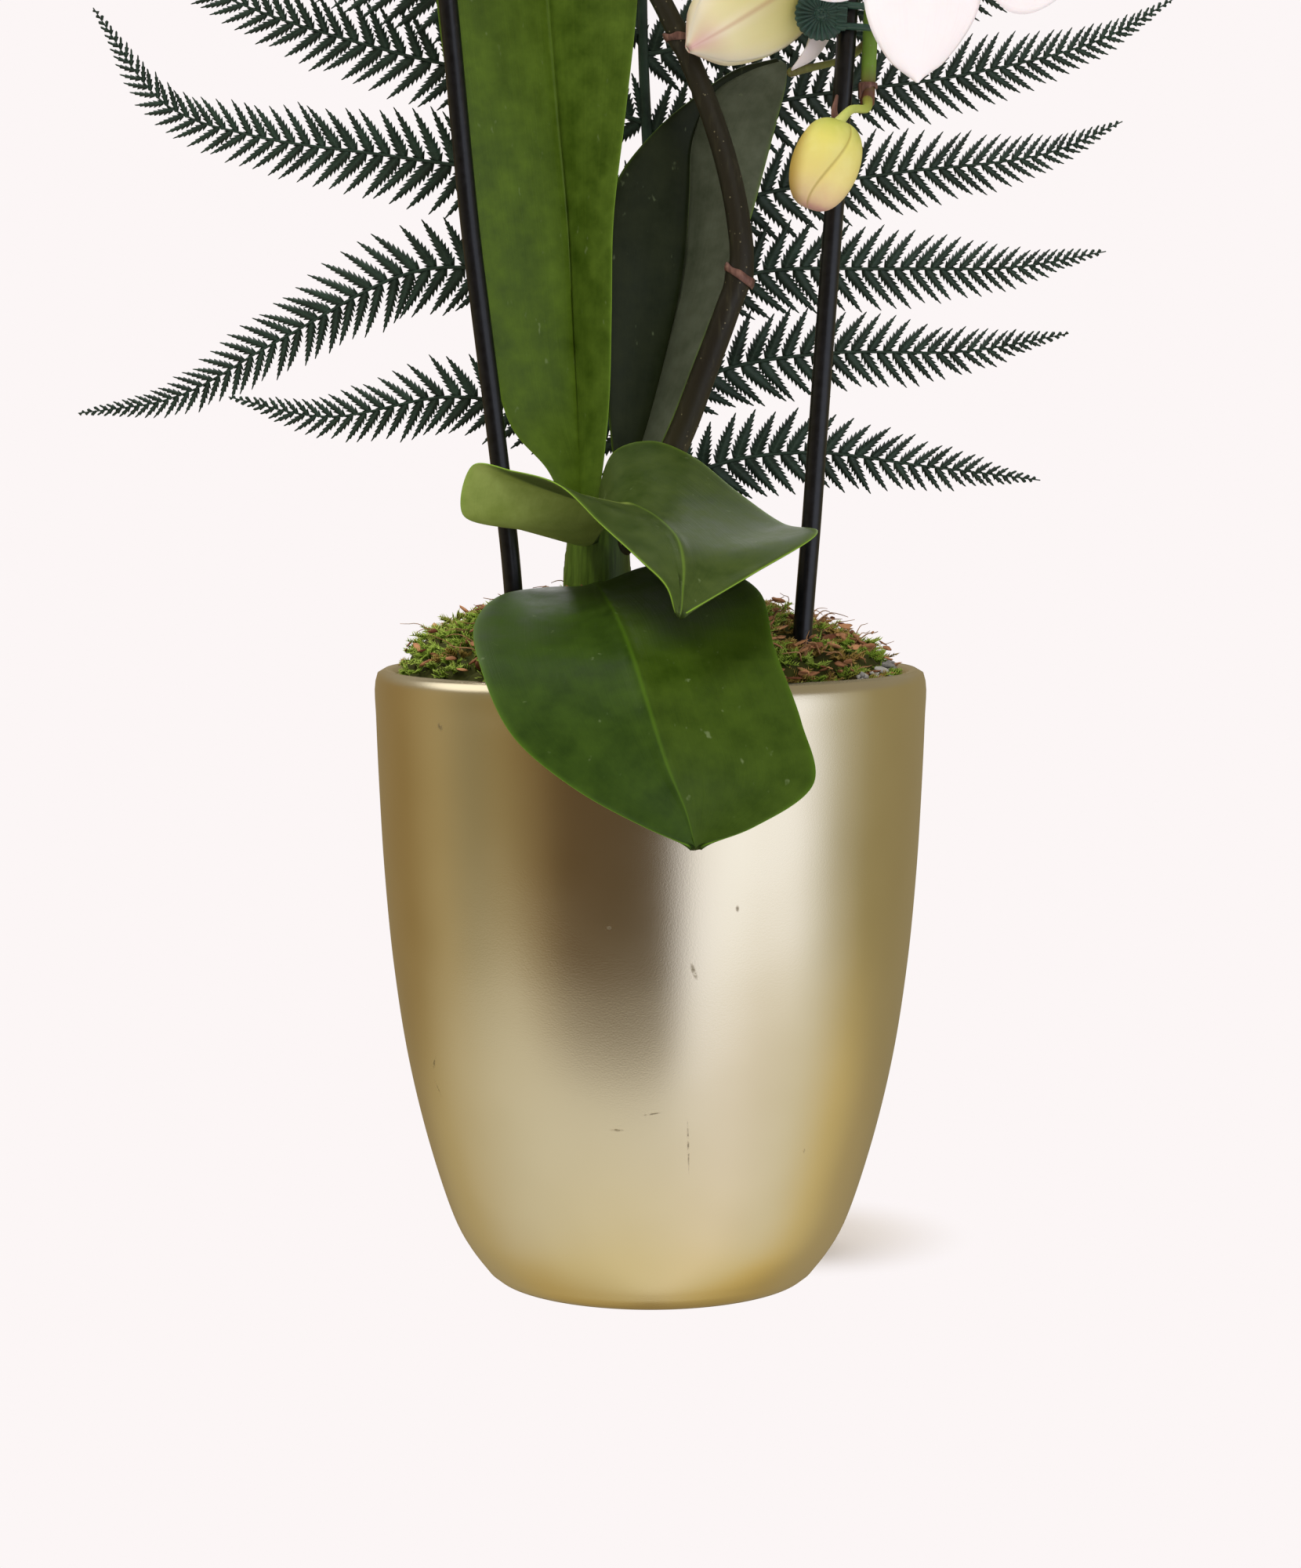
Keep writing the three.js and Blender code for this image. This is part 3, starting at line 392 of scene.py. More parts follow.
# ---------------------------------------------------------------- strap leaves
# Thick leathery leaves folded along a sunk midrib. Two stand upright, one arches over and dips
# at its tip, and one droops over the lip of the pot. Each row is left edge, midrib, right edge.
LEAF_THICKNESS = 1.9
LEAF_ACROSS = 56
LEAF_ALONG = 150
FULL_HALF_WIDTH = 26  # where a half is this wide, it bellies in full
CHANNEL_DEPTH = 0.4
CHANNEL_WIDTH = 0.022  # as a share of the half width
LEAVES = {
    "leaf_upright_left": [
        [(-19, 5, 183), (-17, 8, 183), (-14, 5.5, 183)],
        [(-24.8, 6.5, 197), (-17.2, 12, 199), (-11.4, 6, 200)],
        [(-34, 8, 208), (-17.8, 16, 213), (-10, 7, 216)],
        [(-39.6, 8, 229.5), (-18.8, 18, 232), (-9.5, 7.5, 235)],
        [(-44.2, 8, 256), (-20, 19, 257), (-9, 8, 258)],
        [(-47.9, 8, 282), (-22.5, 20, 283), (-6.2, 8, 282)],
        [(-51.5, 9, 309), (-25, 21, 311), (-3.2, 9, 310)],
        [(-53, 11, 331), (-26.6, 22, 332.5), (-2.5, 12, 331)],
        [(-49, 15, 347), (-27.7, 23, 347.5), (-6.5, 16, 346.5)],
        [(-39, 19, 357), (-28.4, 23.5, 356), (-18, 20, 356.5)],
        [(-30.5, 23, 361), (-29.5, 24, 361.3), (-28.5, 23, 361)],
    ],
    "leaf_upright_right": [
        [(-10, 8, 183), (-8, 10.5, 183), (-6, 8.5, 183)],
        [(-9, 10.5, 196), (-4.5, 15, 196), (-0.5, 10.5, 197)],
        [(-10.5, 13, 213), (0.2, 18, 211), (5.4, 11, 210)],
        [(-11.5, 15, 235), (4.6, 21, 228), (13.6, 11, 231)],
        [(-11.5, 17, 253), (8.4, 23, 246), (19.6, 12, 245)],
        [(-8.5, 20, 268), (9.7, 25, 264), (24.7, 14, 259.5)],
        [(1.3, 23, 281), (10.6, 26.5, 280), (28.3, 17, 272.5)],
        [(12, 25, 290), (15.2, 27, 290), (31.2, 20, 283.5)],
        [(21.7, 27, 296.5), (24.5, 28, 295.6), (33.4, 24, 292)],
        [(31, 28, 299), (32.3, 28.3, 298), (33.8, 27.5, 297)],
    ],
    "leaf_arching": [
        [(-16.5, -1.5, 179.5), (-14.5, -1, 180.3), (-12.5, -1.5, 180.3)],
        [(-19.5, -9, 180.2), (-13.6, -7, 181.6), (-12.2, -4, 185)],
        [(-31.3, -20, 183.7), (-11, -13, 184.7), (-12, -3, 194)],
        [(-43.8, -29, 187.2), (-8.5, -19, 187.4), (-8.6, -2.5, 202)],
        [(-41.3, -33, 198.4), (-5.9, -25, 188.6), (0, -2.5, 204.4)],
        [(-32, -40, 197.3), (-2, -35, 187.4), (9.6, -6, 201)],
        [(-20.7, -50, 194), (2.3, -46, 184.7), (20.4, -13, 192.5)],
        [(-11.2, -58, 185.4), (5.8, -57, 180.7), (31, -26, 185)],
        [(-2.4, -68, 177.7), (6.9, -66, 175.3), (38.3, -42, 183.3)],
        [(3.6, -73, 171.8), (6.6, -71.5, 170.4), (23, -62, 174.5)],
        [(5.4, -75, 166.2), (6.4, -75.4, 165.4), (7.8, -74.8, 166.2)],
    ],
    "leaf_drooping": [
        [(-17, -1.5, 169), (-13.5, -1, 169.5), (-10, -1.5, 170.5)],
        [(-25.8, -18, 169.6), (-12.4, -20, 169.3), (0, -16, 174.8)],
        [(-34.7, -28, 168.4), (-10.4, -33, 167), (14, -26, 175)],
        [(-40, -46, 163), (-7.3, -50, 162.6), (24.7, -40, 170)],
        [(-37.7, -68, 154), (-4, -68, 155.5), (27.8, -62, 157.5)],
        [(-29.6, -84, 139.6), (-0.5, -80, 145.5), (33, -79, 142.5)],
        [(-16.2, -90, 129), (3.6, -86, 133.3), (35.2, -88, 130)],
        [(-0.5, -91, 120.5), (7.6, -88, 123.9), (22.4, -91, 121)],
        [(8.6, -90, 116.6), (9.8, -89.5, 115.7), (11, -90, 116.7)],
    ],
}
# Colours of each leaf: its left half and its right half, each a darker and a paler tone of its mottling,
# and its margin; how far each half bellies; and the share of its length where the left half's colour ends.
# The halves differ mostly as painted light: the darker half is painted shade and the paler half painted
# sheen. The arching leaf shows its pale underside on the left, up to where it twists, partly its own colour
# and partly painted sheen.
LEAF_LOOKS = {
    "leaf_upright_left": {
        "left": ("36490A", "536A1C"), "right": ("30450A", "587022"), "rim": "6C8A2A",
        "belly": 1.0, "left_until": 1.2,
    },
    "leaf_upright_right": {
        "left": ("151C09", "262C18"), "right": ("454B3A", "646A58"), "rim": "6A8A26",
        "belly": 1.2, "left_until": 1.2,
    },
    "leaf_arching": {
        "left": ("76863A", "98A658"), "right": ("2C3C14", "465426"), "rim": "7C9E32",
        "belly": 1.0, "left_until": 0.42,
    },
    "leaf_drooping": {
        "left": ("20330A", "344A10"), "right": ("283A09", "3C5012"), "rim": "567A18",
        "belly": 1.4, "left_until": 1.2,
    },
}


def thick_sheet(grid, thickness):
    """A closed skin on both faces of a grid of points (rows, columns, 3); thickness is per point."""
    rows, columns = grid.shape[:2]
    down = np.gradient(grid, axis=0)
    across = np.gradient(grid, axis=1)
    normal = np.cross(across, down)
    size = np.linalg.norm(normal, axis=2, keepdims=True)
    normal = normal / np.maximum(size, 1e-9)
    offset = normal * (np.broadcast_to(thickness, (rows, columns))[..., None] / 2)
    points = np.concatenate([(grid + offset).reshape(-1, 3), (grid - offset).reshape(-1, 3)])
    count = rows * columns
    faces = []
    for i in range(rows - 1):
        for j in range(columns - 1):
            a = i * columns + j
            b, c, d = a + 1, a + columns + 1, a + columns
            faces.append((a, b, c, d))
            faces.append((a + count, d + count, c + count, b + count))
    border = (
        [j for j in range(columns)]
        + [i * columns + columns - 1 for i in range(1, rows)]
        + [(rows - 1) * columns + j for j in range(columns - 2, -1, -1)]
        + [i * columns for i in range(rows - 2, 0, -1)]
    )
    for k, here in enumerate(border):
        following = border[(k + 1) % len(border)]
        faces.append((following, here, here + count, following + count))
    v, u = np.meshgrid(np.linspace(0, 1, rows), np.linspace(0, 1, columns), indexing="ij")
    uvs = np.stack([u.ravel(), v.ravel()], axis=1)
    return points, faces, np.concatenate([uvs, uvs])


def leaf_skin(rows, belly):
    edges = [Path([row[k] for row in rows]) for k in range(3)]
    v = np.linspace(0, 1, LEAF_ALONG + 1)
    u = np.sin(np.linspace(-math.pi / 2, math.pi / 2, LEAF_ACROSS + 1))
    left, middle, right = [np.array([edge.at(share) for share in v]) for edge in edges]
    away = np.abs(u)[None, :, None]
    side = np.where(u[None, :, None] < 0, left[:, None, :], right[:, None, :])
    grid = middle[:, None, :] * (1 - away) + side * away
    # Each half is a little convex, and the midrib is a rounded channel rather than a crease.
    width = np.linalg.norm(side - middle[:, None, :], axis=2, keepdims=True)
    normal = np.cross(np.gradient(grid, axis=1), np.gradient(grid, axis=0))
    normal /= np.maximum(np.linalg.norm(normal, axis=2, keepdims=True), 1e-9)
    fullness = np.minimum(1, width / FULL_HALF_WIDTH)
    swell = belly * fullness * 4 * away * (1 - away)
    swell -= CHANNEL_DEPTH * fullness * np.exp(-((away / CHANNEL_WIDTH) ** 2))
    grid = grid + normal * swell
    thickness = LEAF_THICKNESS * (1 - 0.45 * np.abs(u)) * np.sqrt(1 - np.abs(u) ** 12 * 0.97)
    return thick_sheet(grid, thickness[None, :])


def leaf_finish(name, look):
    finish, tree, shader = new_finish(name + "_finish", 0.36, Specular_IOR_Level=0.18)
    where = coordinates(tree, "UV")
    split = parts(tree, where)
    from_rib = maths(tree, "ABSOLUTE", maths(tree, "MULTIPLY_ADD", split[0], 2.0, -1.0))
    veins = speckle(tree, stretched(tree, where, (150, 3, 1)), 1.0, 2)
    patches = speckle(tree, coordinates(tree), 150, 5, 0.6)
    tone = maths(tree, "MULTIPLY_ADD", veins, 0.15, times(tree, patches, 0.85))
    # The two halves take their own colours as painted light: painted shade on the darker half, painted
    # sheen on the paler one.
    left_half, right_half = [
        ramp(tree, tone, list(zip((0.28, 0.74), look[side]))) for side in ("left", "right")
    ]
    left = fade(tree, split[1], look["left_until"], look["left_until"] + 0.06, 1.0, 0.0)
    left = times(tree, left, fade(tree, split[0], 0.51, 0.49))
    blade = mixed(tree, left, right_half, left_half)
    blade = tinted(tree, blade, fade(tree, from_rib, 0.014, 0.0, 0.0, 0.3), look["rim"])
    scuffs = speckle(tree, stretched(tree, coordinates(tree), (420, 420, 230)), 1.0, 2)
    blade = tinted(tree, blade, fade(tree, scuffs, 0.68, 0.8, 0.0, 0.3), "8C9A70")
    blade = tinted(tree, blade, fade(tree, from_rib, 0.78, 1.0, 0.0, 0.35), look["rim"])
    blade = tinted(tree, blade, fade(tree, from_rib, 0.955, 0.985), look["rim"])
    tree.links.new(fade(tree, patches, 0.3, 0.7, 0.38, 0.5), shader.inputs["Roughness"])
    grain = times(tree, speckle(tree, coordinates(tree), 1500), 0.3)
    dress(tree, shader, blade, maths(tree, "ADD", veins, grain), 0.10, 0.0004)
    return finish


leaf_blades = []
for leaf_name, leaf_rows in LEAVES.items():
    look = LEAF_LOOKS[leaf_name]
    blade = leaf_skin(leaf_rows, look["belly"])
    green = leaf_finish(leaf_name, look)
    leaf_blades.append(build(leaf_name + "_blade", blade, green, "leaf", leaf_name))

# ---------------------------------------------------------------- wire hoop
# Black plastic-coated steel wire, bent round the plant from leg to leg. Two wires meet under a
# small crimped sleeve at the top.
WIRE_RADIUS = 2.3
HOOP_TOP = (-1.2, -5, 446)
HOOP = Path([
    (-29.5, 3, 70), (-32.4, 3, 150), (-34, 2.5, 175), (-37.3, 2, 205), (-41, 2, 235), (-43.6, 2, 257),
    (-48.3, 2, 308), (-52.3, 1, 350), (-53.4, 0.5, 380), (-49.5, -0.5, 409), (-38, -2, 430),
    (-21, -3.5, 442.5), (-7, -4.6, 445.9), HOOP_TOP, (4.6, -5.3, 445.9), (19, -5.9, 442.5),
    (36, -6.7, 430), (47.5, -8, 409), (51, -9.5, 380), (50, -11, 350), (47.2, -12.5, 318),
    (45.8, -13.5, 296), (40.2, -17, 216), (38.1, -19, 186), (35.9, -20, 157), (31.5, -21, 70),
])
JOINT_GAP = 0.0006
SLEEVE = {"length": 8, "wall": 0.8, "bore": 2.7, "pinch": 0.35, "pinched_at": 2}


def hoop_share(test):
    """The first share of the hoop's length whose place passes a test."""
    return next(k / 1000 for k in range(1001) if test(HOOP.along(k / 1000)))


TOP_SHARE = hoop_share(lambda p: p.x > HOOP_TOP[0])


def tube(path, radius_at, sides, steps, start=0.0, end=1.0, rounded=True):
    """A closed round tube along a path, with domed ends; radius_at takes the share of the length."""
    centres, shares = [], []
    for k in range(steps + 1):
        shares.append(start + (end - start) * k / steps)
        centres.append(path.along(shares[-1]))
    headings = [
        (centres[min(k + 1, steps)] - centres[max(k - 1, 0)]).normalized() for k in range(steps + 1)
    ]
    across = Vector((0.31, 0.95, 0.07))
    rings = []
    for centre, heading, share in zip(centres, headings, shares):
        across = (across - heading * across.dot(heading)).normalized()
        rings.append((centre, across.copy(), heading.cross(across), heading, radius_at(share), share))
    dome = [(0.35, 0.94), (0.75, 0.66), (0.95, 0.31)] if rounded else []
    first, last = rings[0], rings[-1]
    head = [(first, -first[4] * lift, first[4] * width) for lift, width in reversed(dome)]
    tail = [(last, last[4] * lift, last[4] * width) for lift, width in dome]
    rows = head + [(ring, 0.0, ring[4]) for ring in rings] + tail
    points, uvs = [], []
    for ring, lift, radius in rows:
        for k, turn in enumerate(turns(sides)):
            spot = ring[0] + ring[3] * lift + (ring[1] * math.cos(turn) + ring[2] * math.sin(turn)) * radius
            points.append(tuple(spot))
            uvs.append((k / sides, ring[5]))
    return points, wall_faces(len(rows), sides) + end_faces(len(rows), sides), uvs


def joined(skins):
    """Several skins as one."""
    points, faces, uvs = [], [], []
    for skin_points, skin_faces, skin_uvs in skins:
        start = len(points)
        points.extend(tuple(p) for p in skin_points)
        faces.extend(tuple(start + k for k in face) for face in skin_faces)
        uvs.extend(tuple(uv) for uv in skin_uvs)
    return points, faces, uvs


def wire_finish():
    finish, tree, shader = new_finish("black_coated_wire", 0.3, Specular_IOR_Level=0.4)
    dust = speckle(tree, coordinates(tree), 500)
    dress(tree, shader, ramp(tree, dust, [(0.3, "08080A"), (0.8, "17171A")]), dust, 0.06, 0.0003)
    return finish


wire = wire_finish()
for side, foot, joint in (("left", 0, TOP_SHARE - JOINT_GAP), ("right", 1, TOP_SHARE + JOINT_GAP)):
    leg = tube(HOOP, lambda share: WIRE_RADIUS, 28, 150, start=foot, end=joint)
    build(f"wire_{side}", leg, wire, "wire", f"hoop_{side}")


def sleeve_skin():
    """A short open tube round the wires' joint, pinched in two places."""
    half, bore, outer = SLEEVE["length"] / 2, SLEEVE["bore"], SLEEVE["bore"] + SLEEVE["wall"]
    profile = [(bore, -half), (outer - 0.2, -half), (outer, -half + 0.3)]
    for k in range(1, 24):
        s = -half + 0.3 + (SLEEVE["length"] - 0.6) * k / 24
        pinch = SLEEVE["pinch"] * math.exp(-((abs(s) - SLEEVE["pinched_at"]) / 0.5) ** 2)
        profile.append((outer - pinch, s))
    profile += [(outer, half - 0.3), (outer - 0.2, half), (bore, half)]
    centre, heading = HOOP.along(TOP_SHARE), HOOP.heading(TOP_SHARE)
    turned = Vector((0, 0, 1)).rotation_difference(heading)
    sides = 32
    points, uvs = [], []
    for r, s in profile:
        for k, turn in enumerate(turns(sides)):
            points.append(tuple(centre + turned @ Vector((r * math.cos(turn), r * math.sin(turn), s))))
            uvs.append((k / sides, s / SLEEVE["length"] + 0.5))
    return points, wall_faces(len(profile), sides, closed=True), uvs


build("wire_sleeve", sleeve_skin(), wire, "wire", "hoop_sleeve")

# ---------------------------------------------------------------- flower stem
# One long woody stem, brown-green below and fresh green at its tip, with a dry papery bract at
# each joint and a short stalk to every bloom. It is tied beside the wire, 5.3 mm off its middle.
STEM_BESIDE_WIRE = 5.3


def beside_hoop(share, away=STEM_BESIDE_WIRE):
    on, heading = HOOP.along(share), HOOP.heading(share)
    return Vector((on.x - heading.z * away, on.y, on.z + heading.x * away))


def left_share(height):
    return hoop_share(lambda p: p.x < 0 and p.z > height)


def right_share(height):
    return hoop_share(lambda p: p.x > 15 and p.z < height)


STEM = Path([
    (-10.5, 4.5, 175), (-1.5, 2, 189), (3.4, 2, 198), (7.9, 1, 207.5), (12.6, -1, 220),
    (18.2, -3.5, 235), (21.7, -4, 246), (21, -3, 257), (17.9, -1.5, 271.6), (12.3, 0, 288), (3, 0, 308),
    (-12, -2, 332), (-28, -5, 357), (-44, -7.5, 380), (-54.5, -5, 397),
    *[beside_hoop(left_share(height)) for height in (412, 427, 438)],
    beside_hoop(TOP_SHARE, 6.8),
    *[beside_hoop(right_share(height)) for height in (438, 427, 412, 390, 365, 340, 316)],
    (51.2, -13.5, 291), (50.9, -13.5, 283.5),
])
# Middle, turn to the right, nod forward and roll (degrees) of every open bloom, from the crown on.
BLOOMS = [
    {"at": (-64, -44, 360), "turn": -16, "nod": 4, "roll": 8},
    {"at": (-78, -26, 409), "turn": -8, "nod": -4, "roll": -12},
    {"at": (-47, -50, 446), "turn": -8, "nod": -4, "roll": 5},
    {"at": (2, -26, 457), "turn": 0, "nod": -8, "roll": -6},
    {"at": (50, -49.2, 443), "turn": 10, "nod": -6, "roll": 10},
    {"at": (78, -26, 404), "turn": 8, "nod": -2, "roll": 14},
    {"at": (62.5, -46, 328.5), "turn": 22, "nod": 0, "roll": 180},
]
STEM_FOOT_RADIUS = 3.5
JOINT_SWELL = 0.5
JOINT_SHARES = [0.142, 0.252]
STALK_SHARES = [0.43, 0.515, 0.57, 0.635, 0.715, 0.765, 0.88]
HALF_OPEN_SHARE = 0.905
BUD_SHARE = 0.993
STALK_RADIUS = 1.3
BARE_STALK_RADIUS = 1.1
CORE_RADIUS = 4.5
HALF_OPEN = {
    "at": Vector((41.02, -2, 317.58)), "towards": Vector((-0.809, -0.226, -0.542)), "front_sepal": 166.3,
}
HALF_OPEN_TURN = Vector((0, 0, 1)).rotation_difference(HALF_OPEN["towards"]).to_matrix().to_4x4()
# How far the bract stands off the stem, its height, and whether that place follows its ragged rim.
CUFF_PROFILE = [(0.1, 0, 0), (0.4, 0, 0), (0.6, 0.5, 0), (0.5, 1, 1), (0.15, 1, 1)]
BUD = {"at": Vector((40.2, -28, 267.5)), "half_width": 8.0, "half_length": 10.6, "lean": 18}


def bloom_place(bloom):
    turn = Matrix.Rotation(math.radians(bloom["turn"]), 4, "Z")
    nod = Matrix.Rotation(math.radians(bloom["nod"]), 4, "X")
    roll = Matrix.Rotation(math.radians(bloom["roll"]), 4, "Y")
    return Matrix.Translation(bloom["at"]) @ turn @ nod @ roll


def stem_radius(share):
    plain = STEM_FOOT_RADIUS - 1.1 * min(1, share * 3) - 0.65 * share
    joints = JOINT_SHARES + STALK_SHARES
    return plain + sum(JOINT_SWELL * math.exp(-(((share - joint) / 0.004) ** 2)) for joint in joints)


def cuff_skin(share, height, point, facing, slant=0):
    """A papery bract that wraps the stem, runs out to a point on one side and may sit aslant."""
    centre, heading = STEM.along(share), STEM.heading(share)
    across = heading.cross(Vector((0, 1, 0))).normalized()
    up = heading.cross(across)
    sides, base = 36, stem_radius(share)
    points, uvs = [], []
    for radius, low, top in CUFF_PROFILE:
        for k, turn in enumerate(turns(sides)):
            reach = point * max(0, math.cos(turn - facing)) ** 5 + 0.25 * math.sin(5 * turn)
            lift = height * (low - 0.5) + reach * top + slant * math.cos(turn)
            out = across * math.cos(turn) + up * math.sin(turn)
            points.append(tuple(centre + heading * lift + out * (base + radius)))
            uvs.append((k / sides, low))
    return points, wall_faces(len(CUFF_PROFILE), sides, closed=True), uvs


def stalk_skin(points, radius=STALK_RADIUS):
    def thinner_in_the_middle(share):
        return radius * (1.25 - 0.5 * math.sin(math.pi * min(1, 0.15 + 0.7 * share)))

    return tube(Path(points), thinner_in_the_middle, 14, 36)


stalk_skins = []
for bloom, share in zip(BLOOMS, STALK_SHARES):
    spot = bloom_place(bloom)
    leaves_stem = STEM.along(share)
    behind = spot @ Vector((0, CORE_RADIUS + 7, 0))
    reaches = spot @ Vector((0, CORE_RADIUS - 0.6, 0))
    stalk_skins.append(stalk_skin([leaves_stem, leaves_stem.lerp(behind, 0.55), behind, reaches]))
cup_foot = HALF_OPEN["at"] + HALF_OPEN_TURN @ Vector((0, 0, -3.05))
stalk_skins.append(stalk_skin([STEM.along(HALF_OPEN_SHARE), (52, -5, 332), (48, -0.8, 323), cup_foot]))
bud_axis = Matrix.Rotation(math.radians(BUD["lean"]), 3, "Y") @ Vector((0, 0, 1))
bud_top = BUD["at"] + bud_axis * (BUD["half_length"] - 0.5)
stalk_skins.append(stalk_skin([(50.9, -13.5, 284.5), (50.5, -18, 281.5), (46.5, -23.5, 280.5), bud_top]))
# The bud of this stalk has dropped.
bare_stalk = stalk_skin([(51.6, -13.5, 298), (46.5, -7.5, 294.5), (33.4, -5, 291.4)], BARE_STALK_RADIUS)


def stem_finish():
    finish, tree, shader = new_finish("flower_stem_skin", 0.42, Specular_IOR_Level=0.25)
    where = coordinates(tree)
    tone = ramp(tree, parts(tree, coordinates(tree, "UV"))[1], [
        (0.0, "38351F"), (0.10, "231F18"), (0.25, "28251B"), (0.45, "32331E"),
        (0.8, "3C421C"), (0.955, "6B8A3A"), (0.985, "76983C"), (0.995, "6A4534"),
    ])
    streaks = speckle(tree, stretched(tree, where, (700, 700, 90)), 1.0, 3)
    tone = tinted(tree, tone, fade(tree, streaks, 0.5, 0.8, 0.0, 0.25), "56523A")
    dots = add_node(tree, "ShaderNodeTexVoronoi", {"Vector": where, "Scale": 520}).outputs["Distance"]
    tone = tinted(tree, tone, fade(tree, dots, 0.13, 0.06, 0.0, 0.6), "8C8466")
    dress(tree, shader, tone, streaks, 0.2, 0.0004)
    return finish


def stalk_finish(name, shades):
    finish, tree, shader = new_finish(name, 0.42, Subsurface_Weight=0.05)
    streaks = speckle(tree, stretched(tree, coordinates(tree), (900, 900, 200)), 1.0)
    tone = ramp(tree, parts(tree, coordinates(tree, "UV"))[1], list(zip((0.0, 0.12, 0.35, 1.0), shades)))
    tone = tinted(tree, tone, fade(tree, streaks, 0.4, 0.8, 0.0, 0.3), "8FA04A")
    dress(tree, shader, tone, streaks, 0.1, 0.0003)
    return finish


def bract_finish():
    finish, tree, shader = new_finish("papery_bract", 0.6)
    streaks = speckle(tree, stretched(tree, coordinates(tree), (900, 900, 200)), 1.0)
    tone = ramp(tree, streaks, [(0.3, "4A3028"), (0.55, "6E4C42"), (0.8, "94705F")])
    dress(tree, shader, tone, streaks, 0.3, 0.0004)
    return finish


build("flower_stem", tube(STEM, stem_radius, 28, 520), stem_finish(), "stem", "flower_spike")
green_stalk = ["6E4A3A", "8C8A3A", "A4AE4A", "C3C66E"]
olive_stalk = ["5A4A34", "6E7A38", "7E8C44", "5E5A36"]
build("flower_stalks", joined(stalk_skins), stalk_finish("flower_stalk_skin", green_stalk), "stem")
build("bare_stalk", bare_stalk, stalk_finish("bare_stalk_skin", olive_stalk), "stem")
dry_papery = bract_finish()
curled = Path([(44.2, -21, 277), (42.8, -20.5, 280), (43.4, -20, 284)])
build("dry_scale", tube(curled, lambda t: 1.1 - 0.7 * t, 10, 16), dry_papery, "stem")
bracts = [cuff_skin(share, 1.8, 0.6, 2.4 + k, slant=1.4) for k, share in enumerate(JOINT_SHARES)]
upper_shares = [*STALK_SHARES, HALF_OPEN_SHARE, BUD_SHARE]
bracts += [cuff_skin(share, 1.2, 2.6, 1.0 + k) for k, share in enumerate(upper_shares)]
build("stem_bracts", joined(bracts), dry_papery, "stem")

# ---------------------------------------------------------------- clips
# Moulded teal plastic clips that hold the stem to the wire: a ribbed plate, two pointed claws
# round wire and stem, and a daisy head with fine rays and a beaded eye.
CLIP_SHARES = {"clip_left": left_share(424), "clip_top": right_share(441), "clip_right": right_share(303)}
CLAW_STEP = 4.8
CLAW_RADIUS = 0.8
DAISY = {"x": -6.5, "radius": 6.2, "rays": 26, "eye": 1.9, "bead": 0.3}
BAR_ROWS = [(-1, 0.72), (-0.86, 0.94), (0.86, 0.94), (1, 0.72)]
BAR_CORNERS = [
    (-0.92, -0.75), (-0.75, -0.92), (0.75, -0.92), (0.92, -0.75),
    (0.92, 0.75), (0.75, 0.92), (-0.75, 0.92), (-0.92, 0.75),
]


def rounded_bar(centre, half):
    """A small bar with softened edges, as a closed skin."""
    points = [
        (centre[0] + x * half[0] * size, centre[1] + depth * half[1], centre[2] + z * half[2] * size)
        for depth, size in BAR_ROWS for x, z in BAR_CORNERS
    ]
    rows, sides = len(BAR_ROWS), len(BAR_CORNERS)
    walls = [(a, d, c, b) for a, b, c, d in wall_faces(rows, sides)]
    ends = [end[::-1] for end in end_faces(rows, sides)]
    return points, walls + ends, [(0, 0)] * len(points)


def bead(centre, radius, sides=10):
    """A small ball."""
    points, faces = [tuple(Vector(centre) - Vector((0, radius, 0)))], []
    rows = 5
    for row in range(1, rows):
        tilt = math.pi * row / rows
        for turn in turns(sides):
            ring = (math.sin(tilt) * math.cos(turn), -math.cos(tilt), math.sin(tilt) * math.sin(turn))
            points.append(tuple(Vector(centre) + Vector(ring) * radius))
    points.append(tuple(Vector(centre) + Vector((0, radius, 0))))
    for k in range(sides):
        on = (k + 1) % sides
        faces.append((0, 1 + k, 1 + on))
        for row in range(rows - 2):
            low, high = 1 + row * sides, 1 + (row + 1) * sides
            faces.append((low + k, high + k, high + on, low + on))
        last = 1 + (rows - 2) * sides
        faces.append((len(points) - 1, last + on, last + k))
    return points, faces, [(0, 0)] * len(points)


def clip_skin():
    """A clip at the origin: the wire runs along its Z, the stem lies beside it on +X."""
    half_gap = WIRE_RADIUS + 0.9
    front = -(half_gap + CLAW_RADIUS)
    beyond = STEM_BESIDE_WIRE + 3.6
    skins = []
    for lift in (-CLAW_STEP / 2, CLAW_STEP / 2):
        claw = Path([
            (-2.5, front, lift), (1.5, front - 0.1, lift), (STEM_BESIDE_WIRE, front + 0.1, lift),
            (beyond - 0.6, -1.9, lift + 0.2), (beyond + 0.5, -0.3, lift + 1.0),
            (beyond + 0.5, 0.6, lift + 2.0),
        ])
        skins.append(tube(claw, lambda t: CLAW_RADIUS * (1 - 0.75 * max(0, t - 0.55) / 0.45), 12, 40))
        back = Path([
            (-2.5, front, lift), (-half_gap - 0.3, -2.2, lift), (-half_gap - 0.6, 0, lift),
            (-2.4, 2.6, lift), (0, half_gap + 0.6, lift), (3, half_gap + 0.7, lift),
            (STEM_BESIDE_WIRE + 1, 2.9, lift),
        ])
        skins.append(tube(back, lambda t: CLAW_RADIUS * (1 - 0.3 * t), 12, 40))
    skins.append(rounded_bar((-1.7, front + 0.05, 0), (1.5, 0.75, CLAW_STEP / 2 + 1.6)))
    for k in range(5):
        skins.append(rounded_bar((-1.7, front - 0.75, (k - 2) * 1.5), (1.5, 0.3, 0.3)))
    skins.append(rounded_bar((-4.0, front + 0.1, 0), (3.0, 0.6, 3.4)))
    skins += daisy_skins(front)
    return joined(skins)


